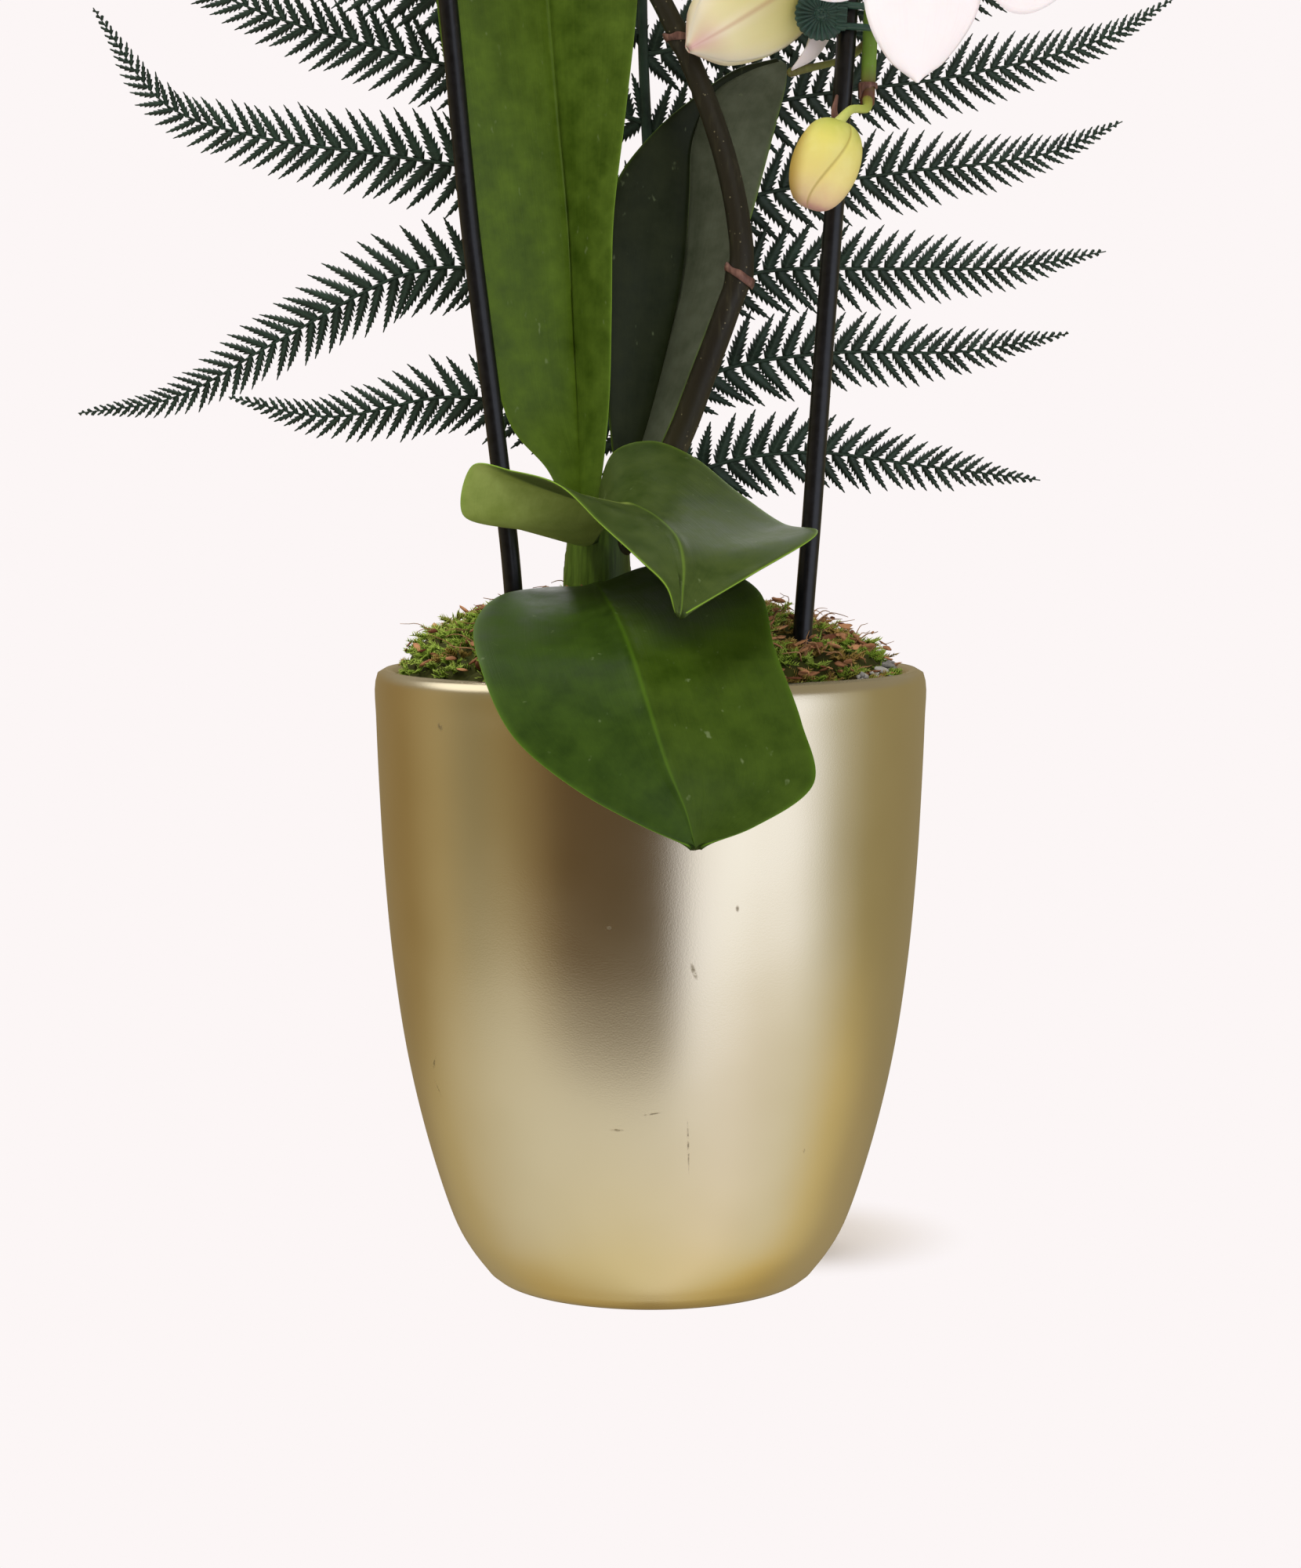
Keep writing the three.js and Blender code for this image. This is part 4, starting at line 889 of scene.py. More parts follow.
def daisy_skins(front):
    """The scalloped disc, its rays, and an eye set with beads."""
    sides, points = DAISY["rays"] * 4, []
    disc = [(0.45, -1.0), (0.97, -0.8), (1.0, -0.4), (0.95, 0.0)]
    for radius, depth in disc:
        for turn in turns(sides):
            scallop = 1 - 0.05 * (1 - abs(math.cos(turn * DAISY["rays"] / 2))) * (radius > 0.9)
            reach = DAISY["radius"] * radius * scallop
            x, z = reach * math.cos(turn), reach * math.sin(turn)
            points.append((DAISY["x"] + x, front + 0.6 + depth, z))
    faces = wall_faces(len(disc), sides) + end_faces(len(disc), sides)
    skins = [(points, faces, [(0, 0)] * len(points))]
    for turn in turns(DAISY["rays"]):
        out = Vector((math.cos(turn), 0, math.sin(turn)))
        root = Vector((DAISY["x"], front - 0.42, 0))
        ray = Path([root + out * 2.0, root + out * 4.0 + Vector((0, -0.12, 0)), root + out * 5.9])
        skins.append(tube(ray, lambda t: 0.18 + 0.16 * math.sin(math.pi * t * 0.8), 6, 6))
    skins.append(bead((DAISY["x"], front + 0.4, 0), DAISY["eye"], 20))
    for ring, count in ((0.0, 1), (0.75, 6), (1.45, 11)):
        lift = math.sqrt(DAISY["eye"] ** 2 - ring**2)
        for turn in turns(count):
            x, z = ring * math.cos(turn + ring), ring * math.sin(turn + ring)
            skins.append(bead((DAISY["x"] + x, front + 0.4 - lift, z), DAISY["bead"], 8))
    return skins


def clip_finish():
    finish, tree, shader = new_finish("moulded_teal_plastic", 0.34, Coat_Weight=0.15)
    cloud = speckle(tree, coordinates(tree), 240)
    dress(tree, shader, ramp(tree, cloud, [(0.3, "28463F"), (0.75, "36564C")]), cloud, 0.05, 0.0003)
    return finish


def moved(skin, place):
    """A skin carried to its place by a matrix."""
    points, faces, uvs = skin
    return [tuple(place @ Vector(p)) for p in points], faces, uvs


clip_teal = clip_finish()
for clip_name, share in CLIP_SHARES.items():
    on_wire = HOOP.along(share)
    to_stem = (beside_hoop(share) - on_wire).normalized()
    back = to_stem.cross(HOOP.heading(share)).normalized()
    turned = Matrix((to_stem, back, to_stem.cross(back))).transposed().to_4x4()
    placed = moved(clip_skin(), Matrix.Translation(on_wire) @ turned)
    build(clip_name.replace("clip_", "stem_clip_"), placed, clip_teal, "clip", clip_name)

# ---------------------------------------------------------------- open blooms
# Seven white moth blooms, each with three oval sepals behind, two broad petals in front, a short
# column, and a three-lobed yellow lip. They are soft and thin, with faint veins and ruffled rims.
PETAL_THICKNESS = 0.55
PETAL_GLOW = (0.003, 0.002, 0.0015)
SEPAL = {"length": 44, "width": 30, "layer": 2.1, "pointed": True}
PETAL = {"length": 43, "width": 44, "layer": -1.7, "pointed": False}
TEPAL_LIFT = 3.5
# Half width of the lip's middle lobe, and how far from its root.
LIP_MIDDLE = [(1.6, 0), (2.2, 3), (2.2, 8), (2.6, 10.5), (5.2, 14), (5.6, 15.5), (3.4, 18.5), (0.6, 20)]


def tepal_skin(length, width, layer, pointed, degrees, seed):
    columns, rows = 26, 34
    u = np.linspace(-1, 1, columns + 1)[None, :]
    v = np.sin(np.linspace(0, math.pi / 2, rows + 1))[:, None]
    out = 1.5 + v * (length - 1.5)
    if pointed:
        rise = np.minimum(1, 0.08 + 2 * v) ** 0.8
        half = width / 2 * rise * np.sin(math.pi / 2 * np.minimum(1, (1.005 - v) / 0.5)) ** 0.75
    else:
        half = width / 2 * np.sin(math.pi * (0.01 + 0.88 * v**1.2)) ** 0.85
    across = u * half
    bowed = out - np.where(v > 0.9, (v - 0.9) * 12 * u * u, 0)
    ruffle = 0.55 * np.sin(5.5 * v + 2.2 * u + seed * 1.7) * np.abs(u) ** 2.5 * v
    ruffle += 0.35 * np.sin(13 * v - 3 * u + seed) * np.abs(u) ** 6
    groove = 0.35 * np.exp(-((across / 1.3) ** 2)) * (1 - v)
    depth = layer + TEPAL_LIFT * v * v + 1.6 * u**2 * v + ruffle + groove
    turn = math.radians(degrees)
    out_x, out_z = math.sin(turn), math.cos(turn)
    x, z = out_x * bowed + out_z * across, out_z * bowed - out_x * across
    grid = np.stack([x, depth + 0 * across, z], axis=2)
    thickness = PETAL_THICKNESS * (1.5 - 0.8 * v) * np.sqrt(1 - 0.9 * np.abs(u) ** 10)
    return thick_sheet(grid, thickness)


def bloom_skins(seed):
    tepals = [tepal_skin(**SEPAL, degrees=turn, seed=seed + turn) for turn in (0, 140, 220)]
    tepals += [tepal_skin(**PETAL, degrees=turn, seed=seed + turn) for turn in (76, 284)]
    middle = Path([(0, CORE_RADIUS - 0.6, 0), (0, 0, 0), (0, -CORE_RADIUS, 0.3)])
    core = tube(middle, lambda t: 3.6 - t, 20, 12)
    bent = Path([(0, -2, 1), (0, -5, 1.8), (0, -8, 1.9), (0, -10, 0.6)])
    column = tube(bent, lambda t: 2.5 - 0.5 * math.sin(math.pi * min(1, t * 1.2)), 20, 24)
    return joined([*tepals, core, column])


def lip_drop(x, s):
    """Where the lip lies at a place across and a distance out from its root."""
    forward = -CORE_RADIUS - 0.45 - 6.5 * (1 - np.exp(-s / 4)) - 0.05 * x * x
    down = -2.6 - 0.9 * np.maximum(0, s - 3) + 0.055 * x * x
    return np.stack([x, forward, down], axis=2)


def lip_skin():
    """The middle lobe with its callus, two side lobes, two whiskers at the tip and a bead at the root."""
    u, s = np.linspace(-1, 1, 15)[None, :], np.linspace(0, LIP_MIDDLE[-1][1], 30)[:, None]
    half = np.interp(s[:, 0], [p[1] for p in LIP_MIDDLE], [p[0] for p in LIP_MIDDLE])[:, None]
    middle = lip_drop(u * half, s + 0 * u)
    middle[..., 1] -= 0.6 * np.exp(-(((s - 5) / 2) ** 2)) * (1 - u**2)
    skins = [thick_sheet(middle, 0.8)]
    reach, along = np.linspace(0, 1, 14)[None, :], np.linspace(0, 1, 14)[:, None]
    for side in (-1, 1):
        x = side * (1.8 + 7.6 * reach * np.sin(math.pi * (0.12 + 0.8 * along)) ** 0.7)
        lobe = lip_drop(x, 2.2 + 6.8 * along - 1.2 * reach * (along - 0.5))
        skins.append(thick_sheet(lobe if side > 0 else lobe[:, ::-1], 0.7))
    for side in (-1, 1):
        curl = [(1.2, -11.2, -17.5), (2.6, -12.4, -19.4), (4.2, -12.0, -18.6), (4.6, -11, -17.6)]
        path = Path([(side * x, y, z) for x, y, z in curl])
        skins.append(tube(path, lambda t: 0.4 - 0.25 * t, 8, 14))
    skins.append(bead((0, -CORE_RADIUS - 2.6, -3.0), 1.7, 16))
    return joined(skins)


def petal_finish():
    glow = {"Subsurface_Weight": 0.18, "Subsurface_Radius": PETAL_GLOW}
    finish, tree, shader = new_finish("petal_white", 0.5, Sheen_Weight=0.08, **glow)
    split = parts(tree, coordinates(tree, "UV"))
    fan = times(tree, maths(tree, "SUBTRACT", split[0], 0.5), 60.0)
    fanned = add_node(tree, "ShaderNodeCombineXYZ", {0: fan, 1: times(tree, split[1], 3.0)}).outputs[0]
    vein = fade(tree, speckle(tree, fanned, 1.0, 1), 0.52, 0.7)
    tone = ramp(tree, split[1], [(0.0, "E9E7C4"), (0.22, "F7F0EE"), (1.0, "F6EEEE")])
    cloud = speckle(tree, coordinates(tree), 60, 3)
    tone = tinted(tree, tone, fade(tree, cloud, 0.4, 0.7, 0.0, 0.25), "F0DFE2")
    tone = tinted(tree, tone, times(tree, vein, 0.12), "F0DFE2")
    fine = maths(tree, "MULTIPLY_ADD", vein, 0.7, speckle(tree, coordinates(tree), 1400))
    dress(tree, shader, tone, fine, 0.06, 0.0004)
    return finish


def lip_finish():
    finish, tree, shader = new_finish("lip_yellow", 0.45, Subsurface_Weight=0.1)
    along = parts(tree, coordinates(tree, "UV"))[1]
    tone = ramp(tree, along, [(0.0, "C9A03A"), (0.35, "E2C552"), (0.7, "F0E6B8"), (1.0, "F4EFE4")])
    spots = {"Vector": coordinates(tree), "Scale": 900}
    dots = add_node(tree, "ShaderNodeTexVoronoi", spots).outputs["Distance"]
    marked = times(tree, fade(tree, dots, 0.28, 0.12), fade(tree, along, 0.5, 0.2))
    dress(tree, shader, tinted(tree, tone, marked, "8E3A2A"), dots, 0.08, 0.0003)
    return finish


petal_white = petal_finish()
lip_yellow = lip_finish()
for k, bloom in enumerate(BLOOMS, start=1):
    place = bloom_place(bloom)
    build(f"open_bloom_{k}", moved(bloom_skins(k), place), petal_white, "petal", f"bloom_{k}")
    build(f"bloom_lip_{k}", moved(lip_skin(), place), lip_yellow, "lip", f"lip_{k}")

# ---------------------------------------------------------------- half-open bloom
# Three sepals and a petal still cup round the middle, and the other petal stands free. Outside they
# are cream, yellow-green towards the stalk, with a pink line along the middle and a rosy tip.
CUP_SEPAL = {"length": 39.7, "width": 31}
CUP_SEPALS = [(0, 12.2), (120, 11.6), (240, 11.7)]  # degrees from the front one, and radius
CUP_WRAP = math.radians(68)
CUP_PETAL = {"length": 37, "width": 20, "radius": 9.4}
FREE_PETAL = {"length": 28, "width": 16, "radius": 6.5, "opens": 38}
CUP_ROLL = {"length": 31, "radius": 8.6}


def cup_skin(degrees, length, width, radius, opens=0):
    columns, rows = 30, 44
    u = np.linspace(-1, 1, columns + 1)[None, :]
    v = np.linspace(0, 1, rows + 1)[:, None]
    belly = radius * np.sin(math.pi * (0.06 + 0.9 * v)) ** 0.6
    spread = width / 2 * np.sin(math.pi * (0.05 + 0.88 * v)) ** 0.7
    keel = 0.35 * np.exp(-((u / 0.07) ** 2)) * np.sin(math.pi * v)
    ruffle = 0.3 * np.sin(9 * v + degrees) * u**4
    # The tips bend inwards and close the end.
    belly = (belly + keel + ruffle) * (1 - 0.75 * np.maximum(0, (v - 0.82) / 0.18) ** 2)
    angle = u * np.minimum(CUP_WRAP, spread / belly)
    grid = np.stack([belly * np.sin(angle), belly * np.cos(angle), v * length + 0 * angle], axis=2)
    skin = thick_sheet(grid, PETAL_THICKNESS * np.sqrt(1 - 0.9 * np.abs(u) ** 10) * np.ones_like(v))
    opened = Matrix.Rotation(math.radians(-opens), 4, "X")
    return moved(skin, Matrix.Rotation(math.radians(-degrees), 4, "Z") @ opened)


def roll_radius(share):
    """The inner petals, still rolled up round the column."""
    return CUP_ROLL["radius"] * math.sin(math.pi * (0.12 + 0.8 * share)) ** 0.7


def cup_finish():
    glow = {"Subsurface_Weight": 0.12, "Subsurface_Radius": PETAL_GLOW}
    finish, tree, shader = new_finish("half_open_petal", 0.42, **glow)
    split = parts(tree, coordinates(tree, "UV"))
    from_middle = maths(tree, "ABSOLUTE", maths(tree, "SUBTRACT", split[0], 0.5))
    tone = ramp(tree, split[1], [(0.0, "C0CA50"), (0.3, "EAE486"), (0.62, "F4EAB4"), (1.0, "FBEEDC")])
    green = times(tree, fade(tree, from_middle, 0.02, 0.12), fade(tree, from_middle, 0.4, 0.2))
    tone = tinted(tree, tone, times(tree, green, 0.3), "E0DA74")
    tone = tinted(tree, tone, fade(tree, from_middle, 0.38, 0.5, 0.0, 0.75), "FAF2DE")
    line = times(tree, fade(tree, from_middle, 0.035, 0.0), fade(tree, split[1], 0.1, 0.5))
    tone = tinted(tree, tone, times(tree, line, 0.45), "CE9E72")
    tip = times(tree, fade(tree, split[1], 0.78, 1.0), fade(tree, from_middle, 0.4, 0.05))
    tone = tinted(tree, tone, times(tree, tip, 0.7), "EBB0B4")
    veins = speckle(tree, stretched(tree, coordinates(tree, "UV"), (50, 2, 1)), 1.0)
    dress(tree, shader, tone, veins, 0.08, 0.0004)
    return finish


cup_place = Matrix.Translation(HALF_OPEN["at"]) @ HALF_OPEN_TURN
front = HALF_OPEN["front_sepal"]
cups = [cup_skin(front + turn, radius=radius, **CUP_SEPAL) for turn, radius in CUP_SEPALS]
cups.append(cup_skin(front - 60, **CUP_PETAL))
cups.append(tube(Path([(0, 0, -1.8), (0, 0, 15), (0, 0, CUP_ROLL["length"])]), roll_radius, 36, 40))
build("half_open_bloom", moved(joined(cups), cup_place), cup_finish(), "petal", "bloom_half_open")
free_petal = moved(cup_skin(front + 72, **FREE_PETAL), cup_place)
build("half_open_free_petal", free_petal, petal_white, "petal")

# ---------------------------------------------------------------- bud
# A closed yellow-green bud that hangs from the stem's tip: three fleshy sepals that meet along
# twisted seams, pink at the foot, with painted shade as a browner tint on its left side.
BUD_GLOW = (0.003, 0.002, 0.001)
BUD_SEAM_TWIST = 0.6
BUD_FRONT_SEAM = math.radians(-78)


def bud_skin():
    sides, rows = 96, 60
    points, uvs = [], []
    for row in range(1, rows):
        tilt = math.pi * row / rows
        height = -math.cos(tilt)
        for k, turn in enumerate(turns(sides)):
            from_seam = math.sin(1.5 * (turn - BUD_FRONT_SEAM - BUD_SEAM_TWIST * height))
            swell = 0.9 + 0.1 * abs(from_seam) ** 0.5 - 0.03 * math.exp(-((from_seam / 0.07) ** 2))
            taper = 1 + 0.05 * height - 0.05 * height**2
            reach = BUD["half_width"] * math.sin(tilt) ** 0.64 * swell * taper
            x, y = reach * math.cos(turn), 0.94 * reach * math.sin(turn)
            points.append((x, y, height * BUD["half_length"]))
            uvs.append((k / sides, (height + 1) / 2))
    faces = wall_faces(rows - 1, sides) + end_faces(rows - 1, sides)
    turned = Matrix.Rotation(math.radians(BUD["lean"]), 4, "Y")
    return moved((points, faces, uvs), Matrix.Translation(BUD["at"]) @ turned)


def bud_finish():
    glow = {"Subsurface_Weight": 0.15, "Subsurface_Radius": BUD_GLOW}
    finish, tree, shader = new_finish("bud_green", 0.45, **glow)
    split = parts(tree, coordinates(tree, "UV"))
    around = times(tree, split[0], 2 * math.pi)
    lifted = maths(tree, "MULTIPLY_ADD", split[1], 2 * BUD_SEAM_TWIST, BUD_FRONT_SEAM - BUD_SEAM_TWIST)
    from_seam = maths(tree, "SINE", times(tree, maths(tree, "SUBTRACT", around, lifted), 1.5))
    tone = ramp(tree, split[1], [
        (0.0, "CB8E8E"), (0.12, "D9B98C"), (0.35, "DDCB7E"), (0.75, "D2C968"), (1.0, "A8AE4A"),
    ])
    cloud = speckle(tree, coordinates(tree), 130)
    tone = tinted(tree, tone, fade(tree, cloud, 0.4, 0.75, 0.0, 0.35), "E4DC94")
    # Painted shade: the side whose surface faces left is tinted browner.
    facing = parts(tree, coordinates(tree, "Normal"))[0]
    tone = tinted(tree, tone, fade(tree, facing, -0.45, -0.95, 0.0, 0.75), "A8842E")
    seam = fade(tree, maths(tree, "ABSOLUTE", from_seam), 0.12, 0.0)
    tone = tinted(tree, tone, times(tree, seam, 0.6), "A8913F")
    dress(tree, shader, tone, cloud, 0.06, 0.0004)
    return finish


build("closed_bud", bud_skin(), bud_finish(), "bud", "bud")

# ---------------------------------------------------------------- fern frond
# One flat leathery frond stands behind the leaves: a thin rachis, pinnae in pairs, and on every
# pinna two rows of toothed lance-shaped leaflets, closer and steeper towards its thread-like tip.
FROND_Y = 36
LAYER_STEP = 0.9
LEAFLET_PITCH = (4.7, 1.8)  # at the foot of a pinna and at its tip
LEAFLET_LEAN = (62, 34)
LEAFLET_THICKNESS = 0.3
TOOTH_PITCH = 1.3
LOW_PINNAE = [
    [(3, 192), (17, 199), (40, 202), (70, 198.5), (99, 195)],
    [(4, 203), (-20, 211), (-50, 216), (-82, 211), (-107, 216)],
    [(2, 215), (19, 223), (45, 227), (80, 227.5), (106, 232)],
    [(2, 232), (-24, 244), (-57, 248), (-93, 231), (-121, 216), (-146, 212)],
    [(1, 238), (27, 247), (60, 248), (92, 248.5), (115, 252.5)],
    [(0, 260), (-28, 270), (-65, 276), (-99, 281), (-122, 289), (-140, 313)],
    [(0, 259), (29, 267), (62, 272), (100, 277), (119, 285)],
    [(-1, 284), (-30, 294), (-65, 302), (-103, 314), (-134, 331)],
    [(-1, 281), (35, 290), (78, 296), (113, 305), (131, 315)],
]
HIGH_PAIRS = 9
TOP_OF_FROND = 474


def rachis_x(z):
    """The rachis leans to the left in the lower half of the frond, then back a little."""
    return 7 - 9 * min(1, (z - 150) / 160) + 4 * max(0, (z - 310) / 160)


def high_pinna(pair, side):
    """The points (x, z) of a pinna above the photographed ones, shorter and steeper towards the tip."""
    share = pair / HIGH_PAIRS
    z = 306 + (TOP_OF_FROND - 314) * (1 - (1 - share) ** 1.35) - (0 if side < 0 else 5)
    length = 132 * (1 - share) ** 0.85 + 6
    rise = 0.22 + 0.5 * share
    return [
        (rachis_x(z) + side * length * t * (1 - 0.12 * t * rise), z + length * t * rise * (0.75 + 0.35 * t))
        for t in (0, 0.35, 0.7, 1)
    ]


def pinna_half_width(share, length):
    widest = min(13, 3.5 + length * 0.077)
    return widest * (1 - share**2.4) * min(1, 0.75 + share) + 1.2 * (1 - share) + 0.4


def leaflet_rows(teeth):
    """Rows of (share of the length, share of the half width, how far the edge leans forward)."""
    rows = [(0.0, 0.42, 0.0)]
    for tooth in range(teeth):
        low = tooth / teeth
        full = 1 - (low + 0.5 / teeth) ** 1.9
        rows.append((low + 0.65 / teeth, full, 0.6))
        rows.append((low + 1.0 / teeth, full * 0.5, 0.0))
    return np.array(rows[:-1] + [(1.0, 0.04, 0.0)])


LEAFLET_ROWS = {teeth: leaflet_rows(teeth) for teeth in range(1, 11)}


def leaflet_skin(root, out, fore, reach, width, bow, lift, curl):
    """One toothed leaflet; root, out and fore are (x, z) in the frond, lift and curl leave its plane."""
    rows = LEAFLET_ROWS[min(10, max(1, round(reach / TOOTH_PITCH)))]
    share, wide, forward = rows[:, 0, None], rows[:, 1, None], rows[:, 2, None]
    across = np.array([[-1, 0, 1, 0]])
    face = np.array([[0, 1, 0, -1]])
    half = wide * width / 2
    along = share * reach + forward * half * np.abs(across)
    aside = across * half + bow * share**2
    depth = lift * share + curl * share**2 + 0.28 * np.abs(across) * half
    depth = depth - face * LEAFLET_THICKNESS / 2
    points = np.stack([
        root[0] + out[0] * along + fore[0] * aside,
        root[1] + depth,
        root[2] + out[1] * along + fore[1] * aside,
    ], axis=2).reshape(-1, 3)
    uvs = np.stack([0.5 + across / 2 + 0 * share, share + 0 * across], axis=2).reshape(-1, 2)
    last = (len(rows) - 1) * 4
    ends = [(0, 3, 2, 1), (last, last + 1, last + 2, last + 3)]
    return points, ends + wall_faces(len(rows), 4), uvs


def pinna_skins(points, layer, draw):
    midrib = Path([(x, 0, z) for x, z in points])
    length = midrib.length
    start = points[0][0]

    def depth(x):
        away = abs(x - start)
        return FROND_Y + layer * min(1, away / 3) + 5 * (away / 140) ** 2

    ribbed = Path([(p.x, depth(p.x), p.z) for p in (midrib.along(k / 16) for k in range(17))])
    skins = [tube(ribbed, lambda t: 0.62 - 0.47 * t, 8, 36)]
    along = 1.0
    while along < length - 0.6:
        share = along / length
        pitch = LEAFLET_PITCH[0] + (LEAFLET_PITCH[1] - LEAFLET_PITCH[0]) * share**2.1
        lean = math.radians(LEAFLET_LEAN[0] + (LEAFLET_LEAN[1] - LEAFLET_LEAN[0]) * share**2)
        half_width = pinna_half_width(share, length)
        tip_share = min(1, share + half_width / math.tan(lean) / length)
        half_width = pinna_half_width(tip_share, length)
        for side in (-1, 1):
            offset = (along + 0.2 * side * pitch) / length
            rib, heading = midrib.along(offset), midrib.heading(offset)
            turn = (lean + 0.07 * draw.uniform(-1, 1)) * side
            out = (
                heading.x * math.cos(turn) - heading.z * math.sin(turn),
                heading.z * math.cos(turn) + heading.x * math.sin(turn),
            )
            fore = (out[1] * side, -out[0] * side)
            reach = half_width / math.sin(lean) * draw.uniform(0.93, 1.05)
            width = pitch * math.sin(lean) * (1.1 - 0.08 * share) * draw.uniform(0.92, 1.06)
            root = (rib.x, depth(rib.x), rib.z)
            skins.append(leaflet_skin(
                root, out, fore, reach, width, 0.07 * reach,
                draw.uniform(-0.5, 0.5), draw.uniform(-0.4, 0.8),
            ))
        along += pitch
    return skins


def fern_skin():
    draw = random.Random(7)
    heights = (150, 230, 310, 400, 470)
    rachis = Path([(8, FROND_Y, 78), *[(rachis_x(z), FROND_Y, z) for z in heights]])
    skins = [tube(rachis, lambda t: 2.1 - 1.4 * t, 14, 120)]
    for k, points in enumerate(LOW_PINNAE):
        skins += pinna_skins(points, LAYER_STEP if (k >> 1) % 2 else -LAYER_STEP, draw)
    for k in range(2 * HIGH_PAIRS):
        layer = LAYER_STEP if ((k + 1) >> 1) % 2 else -LAYER_STEP
        skins += pinna_skins(high_pinna(k // 2, -1 if k % 2 == 0 else 1), layer, draw)
    return joined(skins)


def fern_finish():
    finish, tree, shader = new_finish("leather_fern_green", 0.55, Specular_IOR_Level=0.35)
    across = parts(tree, coordinates(tree, "UV"))[0]
    from_rib = maths(tree, "ABSOLUTE", maths(tree, "SUBTRACT", across, 0.5))
    cloud = speckle(tree, coordinates(tree), 160, 4)
    tone = ramp(tree, cloud, [(0.3, "152119"), (0.7, "283A2E")])
    tone = tinted(tree, tone, fade(tree, from_rib, 0.12, 0.0, 0.0, 0.25), "37493A")
    dress(tree, shader, tone, cloud, 0.15, 0.0004)
    return finish


build("leather_fern", fern_skin(), fern_finish(), "fern", "fern_frond")

# ---------------------------------------------------------------- moss
# A cushion of sheet moss over the bark: a dark matted base, clumps of feathery green sprigs, dry
# brown fibres, orange-brown flakes of bark, and a few grey chips of grit at the right of the rim.
MOSS_RIM = 60.9
MOSS_FOOT = 136.85
MOSS_SINK = 4
MOSS_CREST = {"x": -4, "y": 12, "height": 11.5, "spread": 52, "base": 7.8}
MOSS_BASE_DROP = 2.4
TUFTS = 520
TUFT_SPACING = 3.3
SPRIGS = 7
SPRIG_PAIRS = 6
FIBRES = 260
FLAKES = 340
GRIT = 26


def moss_top(x, y):
    """Height of the cushion, which falls to the filling at the pot's wall."""
    crest = MOSS_CREST
    away = math.hypot(x - crest["x"], y - crest["y"]) / crest["spread"]
    edge = min(1, max(0, (MOSS_RIM - math.hypot(x, y)) / 4.5)) ** 0.55
    waves = 1.1 * math.sin(x * 0.31 + 1.3) * math.cos(y * 0.27 - 0.4)
    waves += 0.7 * math.sin(x * 0.63 - y * 0.52)
    rise = MOSS_SINK + crest["base"] + crest["height"] * (1 - away * away) + waves
    return POT_TOP - MOSS_SINK + rise * edge


def moss_base_skin():
    rings, sides = 46, 150
    profile = [(MOSS_RIM * (k / rings) ** 0.8, 1) for k in range(rings + 1)]
    profile += [(MOSS_RIM * 0.985, 0), (0, 0)]
    points, faces, _ = lathe(profile, sides)
    shaped = []
    for x, y, raised in points:
        if raised:
            rough = 1.6 * noise.noise(Vector((x, y, 0)) * 0.45)
            rough += 0.9 * noise.noise(Vector((x, y, 5)) * 1.1)
            raised = max(MOSS_FOOT + 1, moss_top(x, y) - MOSS_BASE_DROP + rough)
        shaped.append((x, y, raised or MOSS_FOOT))
    return shaped, faces, [(0.5, 0.0)] * len(shaped)


def on_moss(x, y):
    """A place on the moss base and the way that its surface faces there."""
    step = 0.8
    slope = Vector((
        moss_top(x - step, y) - moss_top(x + step, y),
        moss_top(x, y - step) - moss_top(x, y + step),
        2 * step,
    )).normalized()
    return Vector((x, y, moss_top(x, y) - MOSS_BASE_DROP)), slope


def scatter_spot(draw, limit=MOSS_RIM - 0.8):
    turn = draw.uniform(0, 2 * math.pi)
    radius = limit * math.sqrt(draw.uniform(0, 1))
    return on_moss(radius * math.cos(turn), radius * math.sin(turn))


def needles_skin(needles):
    """Three-sided needles as one skin: root, tip, half width, clump's tone, tones at root and tip."""
    roots, tips = np.array([n[0] for n in needles]), np.array([n[1] for n in needles])
    half = np.array([n[2] for n in needles])[:, None]
    axis = tips - roots
    axis /= np.linalg.norm(axis, axis=1, keepdims=True)
    across = np.cross(axis, (0.3, 0.7, 0.64))
    across /= np.linalg.norm(across, axis=1, keepdims=True)
    up = np.cross(axis, across)
    third = 2 * math.pi / 3
    corners = [roots + (across * math.cos(k * third) + up * math.sin(k * third)) * half for k in range(3)]
    points = np.stack([*corners, tips], axis=1).reshape(-1, 3)
    faces = np.array([(0, 2, 1), (0, 1, 3), (1, 2, 3), (2, 0, 3)])
    faces = (faces + 4 * np.arange(len(needles))[:, None, None]).reshape(-1, 3)
    uvs = [(n[3], n[4] if k < 3 else n[5]) for n in needles for k in range(4)]
    return points, faces.tolist(), uvs


def spaced_spots(draw):
    """Middles of the clumps, none closer than the spacing."""
    spots = []
    for _ in range(TUFTS * 12):
        spot, slope = scatter_spot(draw)
        if all((spot - other).length > TUFT_SPACING for other, _ in spots):
            spots.append((spot, slope))
        if len(spots) == TUFTS:
            break
    return spots


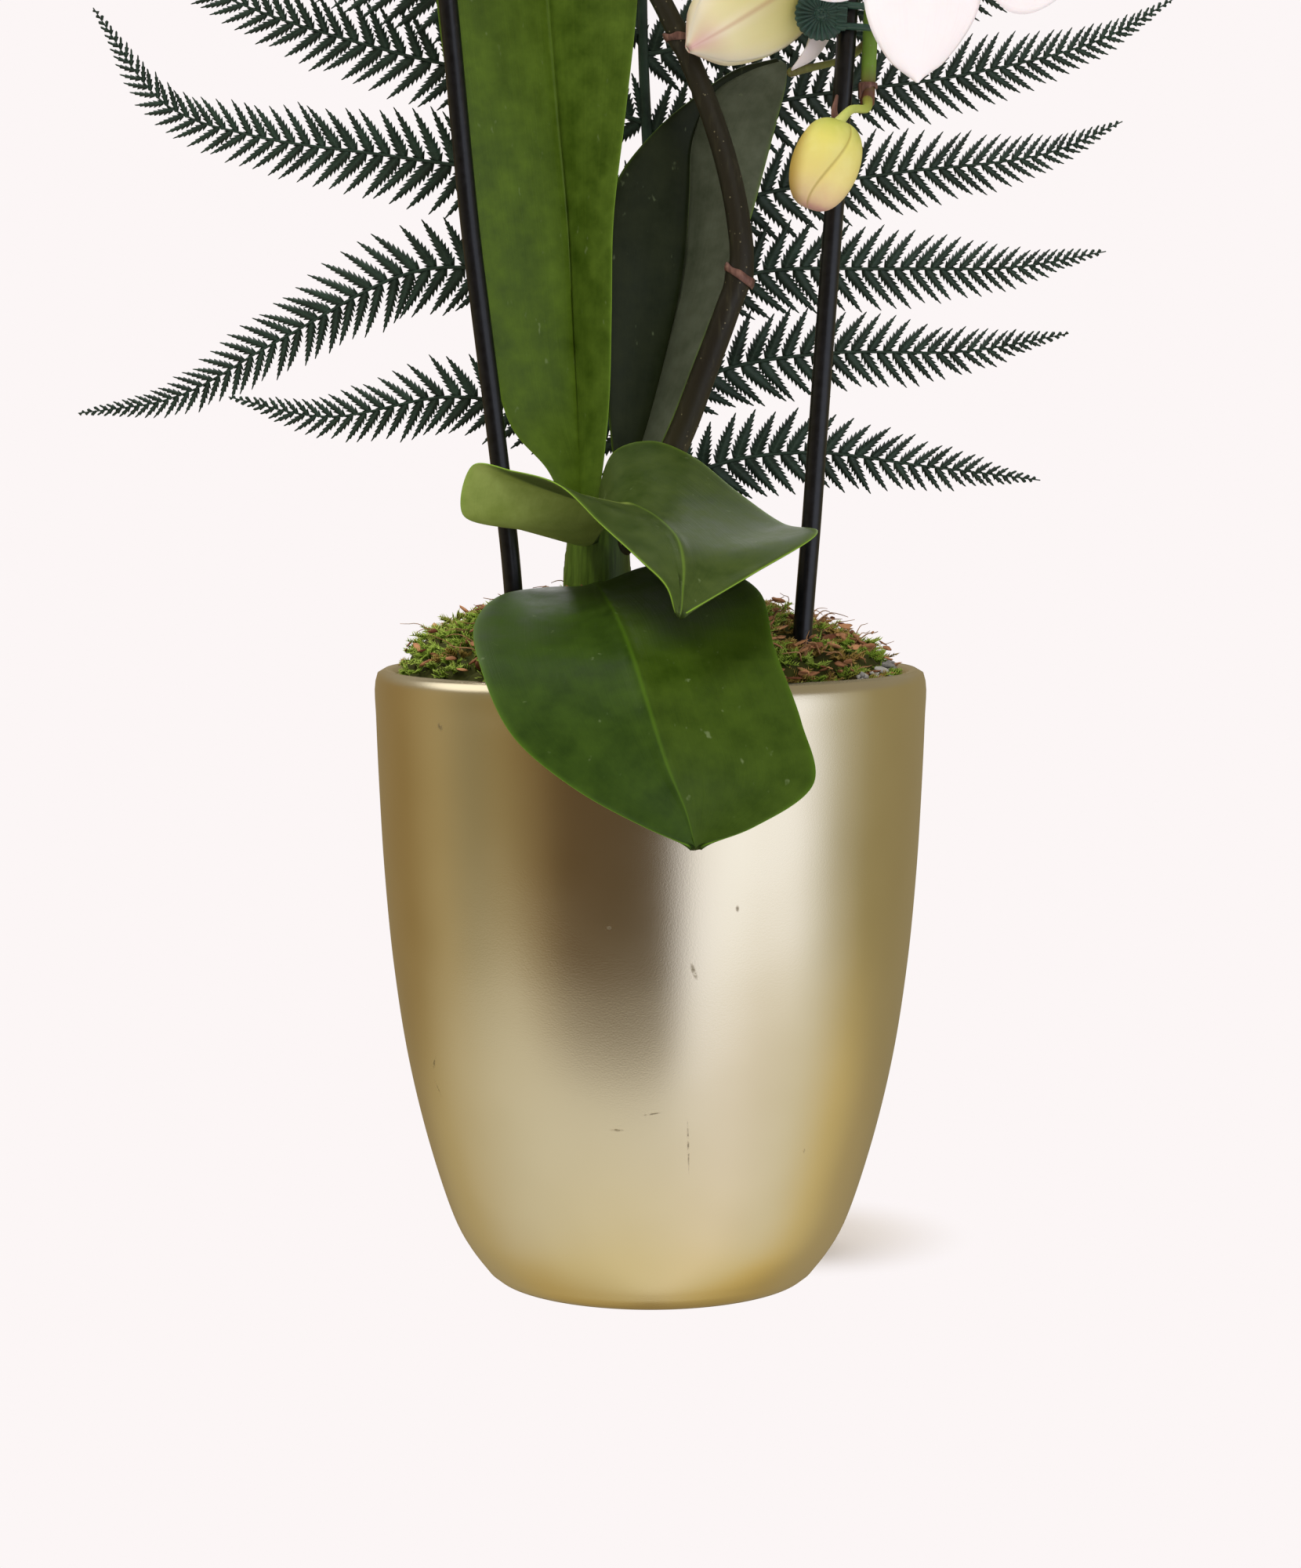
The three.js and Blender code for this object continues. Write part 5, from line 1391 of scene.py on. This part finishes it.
def sprig_needles(draw, root, way, length, tone):
    """A feathery sprig: a drooping stem between two rows of needles that point forwards."""
    droop = Vector((0, 0, -draw.uniform(0.4, 1.6)))
    side = way.cross(Vector((draw.uniform(-1, 1), draw.uniform(-1, 1), 1.2))).normalized()
    along = [root + way * length * t + droop * t * t for t in np.linspace(0, 1, SPRIG_PAIRS + 2)]
    needles = [
        (along[0], along[4], 0.24, tone, 0.0, 0.5),
        (along[3], along[-1], 0.2, tone, 0.4, 1.0),
    ]
    for k in range(1, SPRIG_PAIRS + 1):
        share = k / (SPRIG_PAIRS + 1)
        for flip in (-1, 1):
            reach = (way * 0.9 + side * flip * 0.9 + Vector((0, 0, draw.uniform(-0.2, 0.4)))).normalized()
            tip = along[k] + reach * (2.3 - 1.3 * share) * draw.uniform(0.75, 1.2)
            needles.append((along[k], tip, 0.22, tone, share * 0.6, share * 0.6 + 0.4))
    return needles


def moss_needles(draw):
    """The green sprigs and the dry ones, which are most of those at the right and some elsewhere."""
    green, dry = [], []
    for spot, slope in spaced_spots(draw):
        tone = draw.uniform(0, 1)
        kept = dry if draw.uniform(0, 1) < (0.34 if spot.x > 14 else 0.14) else green
        for _ in range(SPRIGS):
            turn = draw.uniform(0, 2 * math.pi)
            level = Vector((math.cos(turn), math.sin(turn), 0))
            way = (slope * draw.uniform(0.3, 1.1) + level * draw.uniform(0.5, 1.0)).normalized()
            kept += sprig_needles(draw, spot + level * 0.6, way, draw.uniform(2.6, 5.2), tone)
    return [needles_skin([n for n in kept if math.hypot(n[1].x, n[1].y) < 61.5]) for kept in (green, dry)]


def fibre_skin(draw):
    root, slope = scatter_spot(draw, MOSS_RIM - 6)
    way = Vector((draw.uniform(-1, 1), draw.uniform(-1, 1), 0.1)).normalized()
    length = draw.uniform(4, 9)
    lift = slope * draw.uniform(2.2, 4.0)
    points = [root + slope, root + way * length * 0.35 + lift, root + way * length * 0.7 + lift * 0.9]
    bends = Path([*points, points[-1] + way * length * 0.3 + slope * draw.uniform(-1.5, 0.6)])
    thick = draw.uniform(0.14, 0.26)
    return tube(bends, lambda t: thick * (1 - 0.6 * t), 5, 8, rounded=False)


def chip_skin(draw, spot, size, flat):
    """A broken chip with jagged edges, lying at a random slant."""
    points, faces, _ = bead((0, 0, 0), 1.0, 7)
    slant = Matrix.Rotation(draw.uniform(-1.0, 1.0), 3, "X")
    slant = slant @ Matrix.Rotation(draw.uniform(-0.6, 0.6), 3, "Y")
    turned = Matrix.Rotation(draw.uniform(0, 6.3), 3, "Z") @ slant
    scale = Vector((draw.uniform(0.9, 2.2), draw.uniform(0.35, 0.8), flat * draw.uniform(0.7, 1.3))) * size
    shaped = []
    for point in points:
        jag = Vector(point) * draw.uniform(0.7, 1.15)
        shaped.append(tuple(spot + turned @ Vector(a * b for a, b in zip(jag, scale))))
    return shaped, faces, [(draw.uniform(0, 1), 0.5)] * len(shaped)


def moss_finish(name, dark, middle, light, brown):
    """Colour runs from a dark root of a sprig to a pale tip, partly the moss's own colour and partly
    painted shade deep in the clump and painted light on the tip; some clumps are browner.
    """
    finish, tree, shader = new_finish(name, 0.85, Specular_IOR_Level=0.2)
    split = parts(tree, coordinates(tree, "UV"))
    tuft = speckle(tree, coordinates(tree), 420, 2)
    # Darker towards the root and paler at the tip: partly painted shade inside the clump and painted light
    # on the tips.
    tone = maths(tree, "MULTIPLY_ADD", split[1], 0.55, times(tree, tuft, 0.4))
    tone = maths(tree, "MULTIPLY_ADD", split[0], 0.22, maths(tree, "SUBTRACT", tone, 0.08))
    tone = ramp(tree, tone, [(0.12, dark), (0.45, middle), (0.85, light)])
    patch = speckle(tree, coordinates(tree), 52, 3)
    tone = tinted(tree, tone, fade(tree, patch, 0.55, 0.7, 0.0, 0.6), brown)
    tree.links.new(tone, shader.inputs[0])
    return finish


def chip_finish(name, dark, light):
    finish, tree, shader = new_finish(name, 0.75, Specular_IOR_Level=0.3)
    tuft = speckle(tree, coordinates(tree), 260, 3)
    own = parts(tree, coordinates(tree, "UV"))[0]
    tone = maths(tree, "MULTIPLY_ADD", own, 0.45, times(tree, tuft, 0.55))
    dress(tree, shader, ramp(tree, tone, [(0.25, dark), (0.75, light)]), tuft, 0.3, 0.0006)
    return finish


draw = random.Random(21)
moss_mat = moss_finish("moss_mat", "2C2E12", "46481C", "5E5C28", "52402A")
build("moss_base", moss_base_skin(), moss_mat, "moss", "moss")
green_needles, dry_needles = moss_needles(draw)
green_moss = moss_finish("green_sprigs", "3E4C14", "7C9632", "BACB66", "9C8C46")
dry_moss = moss_finish("dry_sprigs", "4A3A18", "8E7638", "C8A868", "A87444")
build("moss_sprigs", green_needles, green_moss, "moss")
build("dry_moss_sprigs", dry_needles, dry_moss, "moss")
fibres = joined([fibre_skin(draw) for _ in range(FIBRES)])
build("moss_fibres", fibres, chip_finish("dry_fibre", "6E4427", "B28A62"), "moss")
flakes = []
while len(flakes) < FLAKES:
    spot, slope = scatter_spot(draw, MOSS_RIM - 3)
    # Most flakes lie on the right half of the cushion.
    if draw.uniform(0, 1) < (0.95 if spot.x > 12 else 0.35):
        flakes.append(chip_skin(draw, spot + slope * draw.uniform(1.6, 4.0), draw.uniform(0.6, 1.5), 0.25))
build("bark_flakes", joined(flakes), chip_finish("bark_flake", "5E3220", "C48E64"), "bark")
grit = []
for _ in range(GRIT):
    turn = math.radians(draw.uniform(-34, 4))
    radius = draw.uniform(56.8, 60.0)
    spot, slope = on_moss(radius * math.cos(turn), radius * math.sin(turn))
    grit.append(chip_skin(draw, spot + Vector((0, 0, 2.6)), draw.uniform(0.8, 1.5), 0.7))
build("rim_grit", joined(grit), chip_finish("grey_grit", "66635F", "C2BEB8"), "bark")

# ---------------------------------------------------------------- floor, backdrop and light
# A pale floor that melts into an evenly lit pale room. The pot mirrors the studio: a dark doorway
# behind the camera, a broad white window to its right, a dimmer one to its left, and the floor.
BACKDROP = "FCF6F6"
FLOOR_RADIUS = 1.3
FLOOR_SIDES = 96
ROOM_RADIUS = 4.0
# Share of the floor's paleness that doesn't depend on the light, and the lit share on top of it.
FLOOR_GLOW = 0.12
FLOOR_LIT = 0.88
# The shadow is a small soft one at the right of the foot, and melts away round this place.
SHADOW_MIDDLE = (0.04, 0.036, 0)


def stage_mesh(name, points, faces, finish):
    mesh = bpy.data.meshes.new(name)
    mesh.from_pydata(points, [], faces)
    mesh.materials.append(finish)
    mesh.polygons.foreach_set("use_smooth", [True] * len(mesh.polygons))
    made = bpy.data.objects.new(name, mesh)
    bpy.context.scene.collection.objects.link(made)
    return made


def floor_finish():
    finish = bpy.data.materials.new("pale_floor")
    finish.use_nodes = True
    tree = finish.node_tree
    tree.nodes.clear()
    pale = colour(BACKDROP)
    dimmed = [*[FLOOR_LIT * c for c in pale[:3]], 1]
    lit = add_node(tree, "ShaderNodeBsdfDiffuse", {"Color": dimmed}).outputs[0]
    own = add_node(tree, "ShaderNodeEmission", {"Color": pale, "Strength": FLOOR_GLOW}).outputs[0]
    near = add_node(tree, "ShaderNodeAddShader", {0: lit, 1: own}).outputs[0]
    far = add_node(tree, "ShaderNodeEmission", {"Color": pale, "Strength": 1.0}).outputs[0]
    inputs = {0: coordinates(tree), 1: SHADOW_MIDDLE}
    away = add_node(tree, "ShaderNodeVectorMath", inputs, operation="DISTANCE").outputs["Value"]
    shares = {0: fade(tree, away, 0.012, 0.045), 1: near, 2: far}
    melt = add_node(tree, "ShaderNodeMixShader", shares).outputs[0]
    add_node(tree, "ShaderNodeOutputMaterial", {0: melt})
    return finish


def room_finish():
    finish = bpy.data.materials.new("pale_room")
    finish.use_nodes = True
    tree = finish.node_tree
    tree.nodes.clear()
    own = add_node(tree, "ShaderNodeEmission", {"Color": colour(BACKDROP), "Strength": 1.0}).outputs[0]
    add_node(tree, "ShaderNodeOutputMaterial", {0: own})
    return finish


rim = [(FLOOR_RADIUS * math.cos(a), FLOOR_RADIUS * math.sin(a), 0) for a in turns(FLOOR_SIDES)]
floor = stage_mesh("floor", rim, [tuple(range(FLOOR_SIDES))], floor_finish())
floor.visible_glossy = False
bead_points, bead_faces, _ = bead((0, 0, 0), ROOM_RADIUS, 24)
room = stage_mesh("room", bead_points, bead_faces, room_finish())
for sight in ("visible_diffuse", "visible_glossy", "visible_transmission", "visible_shadow"):
    setattr(room, sight, False)

# Bands of the room round the pot, in degrees from the camera towards the right, at eye level and
# on the floor. The doorway and the windows stand out from plain walls in the gold's own shade.
WORLD_STRENGTH = 1.52
ROOM_BANDS = [
    (-178, (0.19, 0.15, 0.085)), (-125, (0.185, 0.13, 0.052)), (-100, (0.27, 0.216, 0.11)),
    (-80, (0.185, 0.16, 0.092)), (-64, (0.20, 0.155, 0.07)), (-50, (0.145, 0.102, 0.044)),
    (-36, (0.068, 0.042, 0.017)), (6, (0.066, 0.049, 0.03)), (20, (0.74, 0.77, 0.92)),
    (34, (0.80, 0.85, 1.0)), (64, (0.76, 0.80, 0.94)), (84, (0.33, 0.32, 0.26)),
    (104, (0.22, 0.19, 0.10)), (178, (0.19, 0.155, 0.09)),
]
FLOOR_BANDS = [
    (-178, (0.20, 0.16, 0.09)), (-128, (0.33, 0.275, 0.15)), (-76, (0.45, 0.43, 0.36)),
    (-24, (0.52, 0.51, 0.47)), (10, (0.53, 0.52, 0.50)), (41, (0.56, 0.54, 0.53)),
    (78, (0.48, 0.46, 0.39)), (104, (0.42, 0.35, 0.17)), (128, (0.27, 0.225, 0.125)),
    (178, (0.20, 0.16, 0.09)),
]
DEEP_TINT = [1.0, 0.92, 0.68, 1]
CEILING = [0.20, 0.18, 0.135, 1]
SIDE_LAMP = Vector((-0.68, 0.12, 0.72)).normalized()


def studio_world():
    world = bpy.data.worlds.new("studio")
    bpy.context.scene.world = world
    world.use_nodes = True
    tree = world.node_tree
    tree.nodes.clear()
    where = coordinates(tree, "Generated")
    split = parts(tree, where)
    turn = maths(tree, "ARCTAN2", split[0], times(tree, split[1], -1.0))
    bearing = maths(tree, "MULTIPLY_ADD", turn, 0.5 / math.pi, 0.5)
    around = ramp(tree, bearing, [(0.5 + a / 360, [*c, 1]) for a, c in ROOM_BANDS])
    ground = ramp(tree, bearing, [(0.5 + a / 360, [*c, 1]) for a, c in FLOOR_BANDS])
    deep = mixed(tree, 1.0, ground, DEEP_TINT, "MULTIPLY")
    ground = mixed(tree, fade(tree, split[2], -0.6, -0.85), ground, deep)
    # The foot of the doorway is rounded, so the floor starts higher at its left side.
    aside = times(tree, maths(tree, "ADD", turn, math.radians(8)), 1.6)
    sunk = times(tree, times(tree, aside, aside), -0.07)
    level = maths(tree, "ADD", split[2], maths(tree, "MAXIMUM", sunk, -0.16))
    seen = mixed(tree, fade(tree, level, -0.38, -0.56), around, ground)
    seen = mixed(tree, fade(tree, split[2], 0.10, 0.45), seen, CEILING)
    facing = add_node(tree, "ShaderNodeVectorMath", {0: where, 1: SIDE_LAMP}, operation="DOT_PRODUCT")
    seen = mixed(tree, fade(tree, facing.outputs["Value"], 0.88, 0.96), seen, [0.95, 0.93, 0.88, 1])
    light = add_node(tree, "ShaderNodeBackground", {"Color": seen, "Strength": WORLD_STRENGTH}).outputs[0]
    add_node(tree, "ShaderNodeOutputWorld", {0: light})


studio_world()


def soft_light(name, place, size, power, seen, only=None):
    """An area light that looks at the plant; seen says whether glossy things mirror it."""
    data = bpy.data.lights.new(name, "AREA")
    data.size = size
    data.energy = power
    light = bpy.data.objects.new(name, data)
    light.location = place
    aim = Vector((0, 0, 0.2)) - Vector(place)
    light.rotation_euler = aim.to_track_quat("-Z", "Y").to_euler()
    light.visible_camera = False
    light.visible_glossy = seen
    if only:
        light.light_linking.receiver_collection = only
    bpy.context.scene.collection.objects.link(light)


soft_light("key_light", (-0.55, -0.3, 1.3), 0.45, 9, seen=False)
soft_light("front_light", (0.3, -1.6, 0.8), 1.1, 15, seen=False)
soft_light("back_light", (-0.15, 0.55, 1.15), 0.45, 5, seen=True)
# The leaves alone mirror the pale backdrop, as a dull sheen where they bend over.
blades = bpy.data.collections.new("blades")
for blade in leaf_blades:
    blades.objects.link(blade)
soft_light("backdrop_sheen", (0.25, 1.3, 0.75), 0.8, 6, seen=True, only=blades)
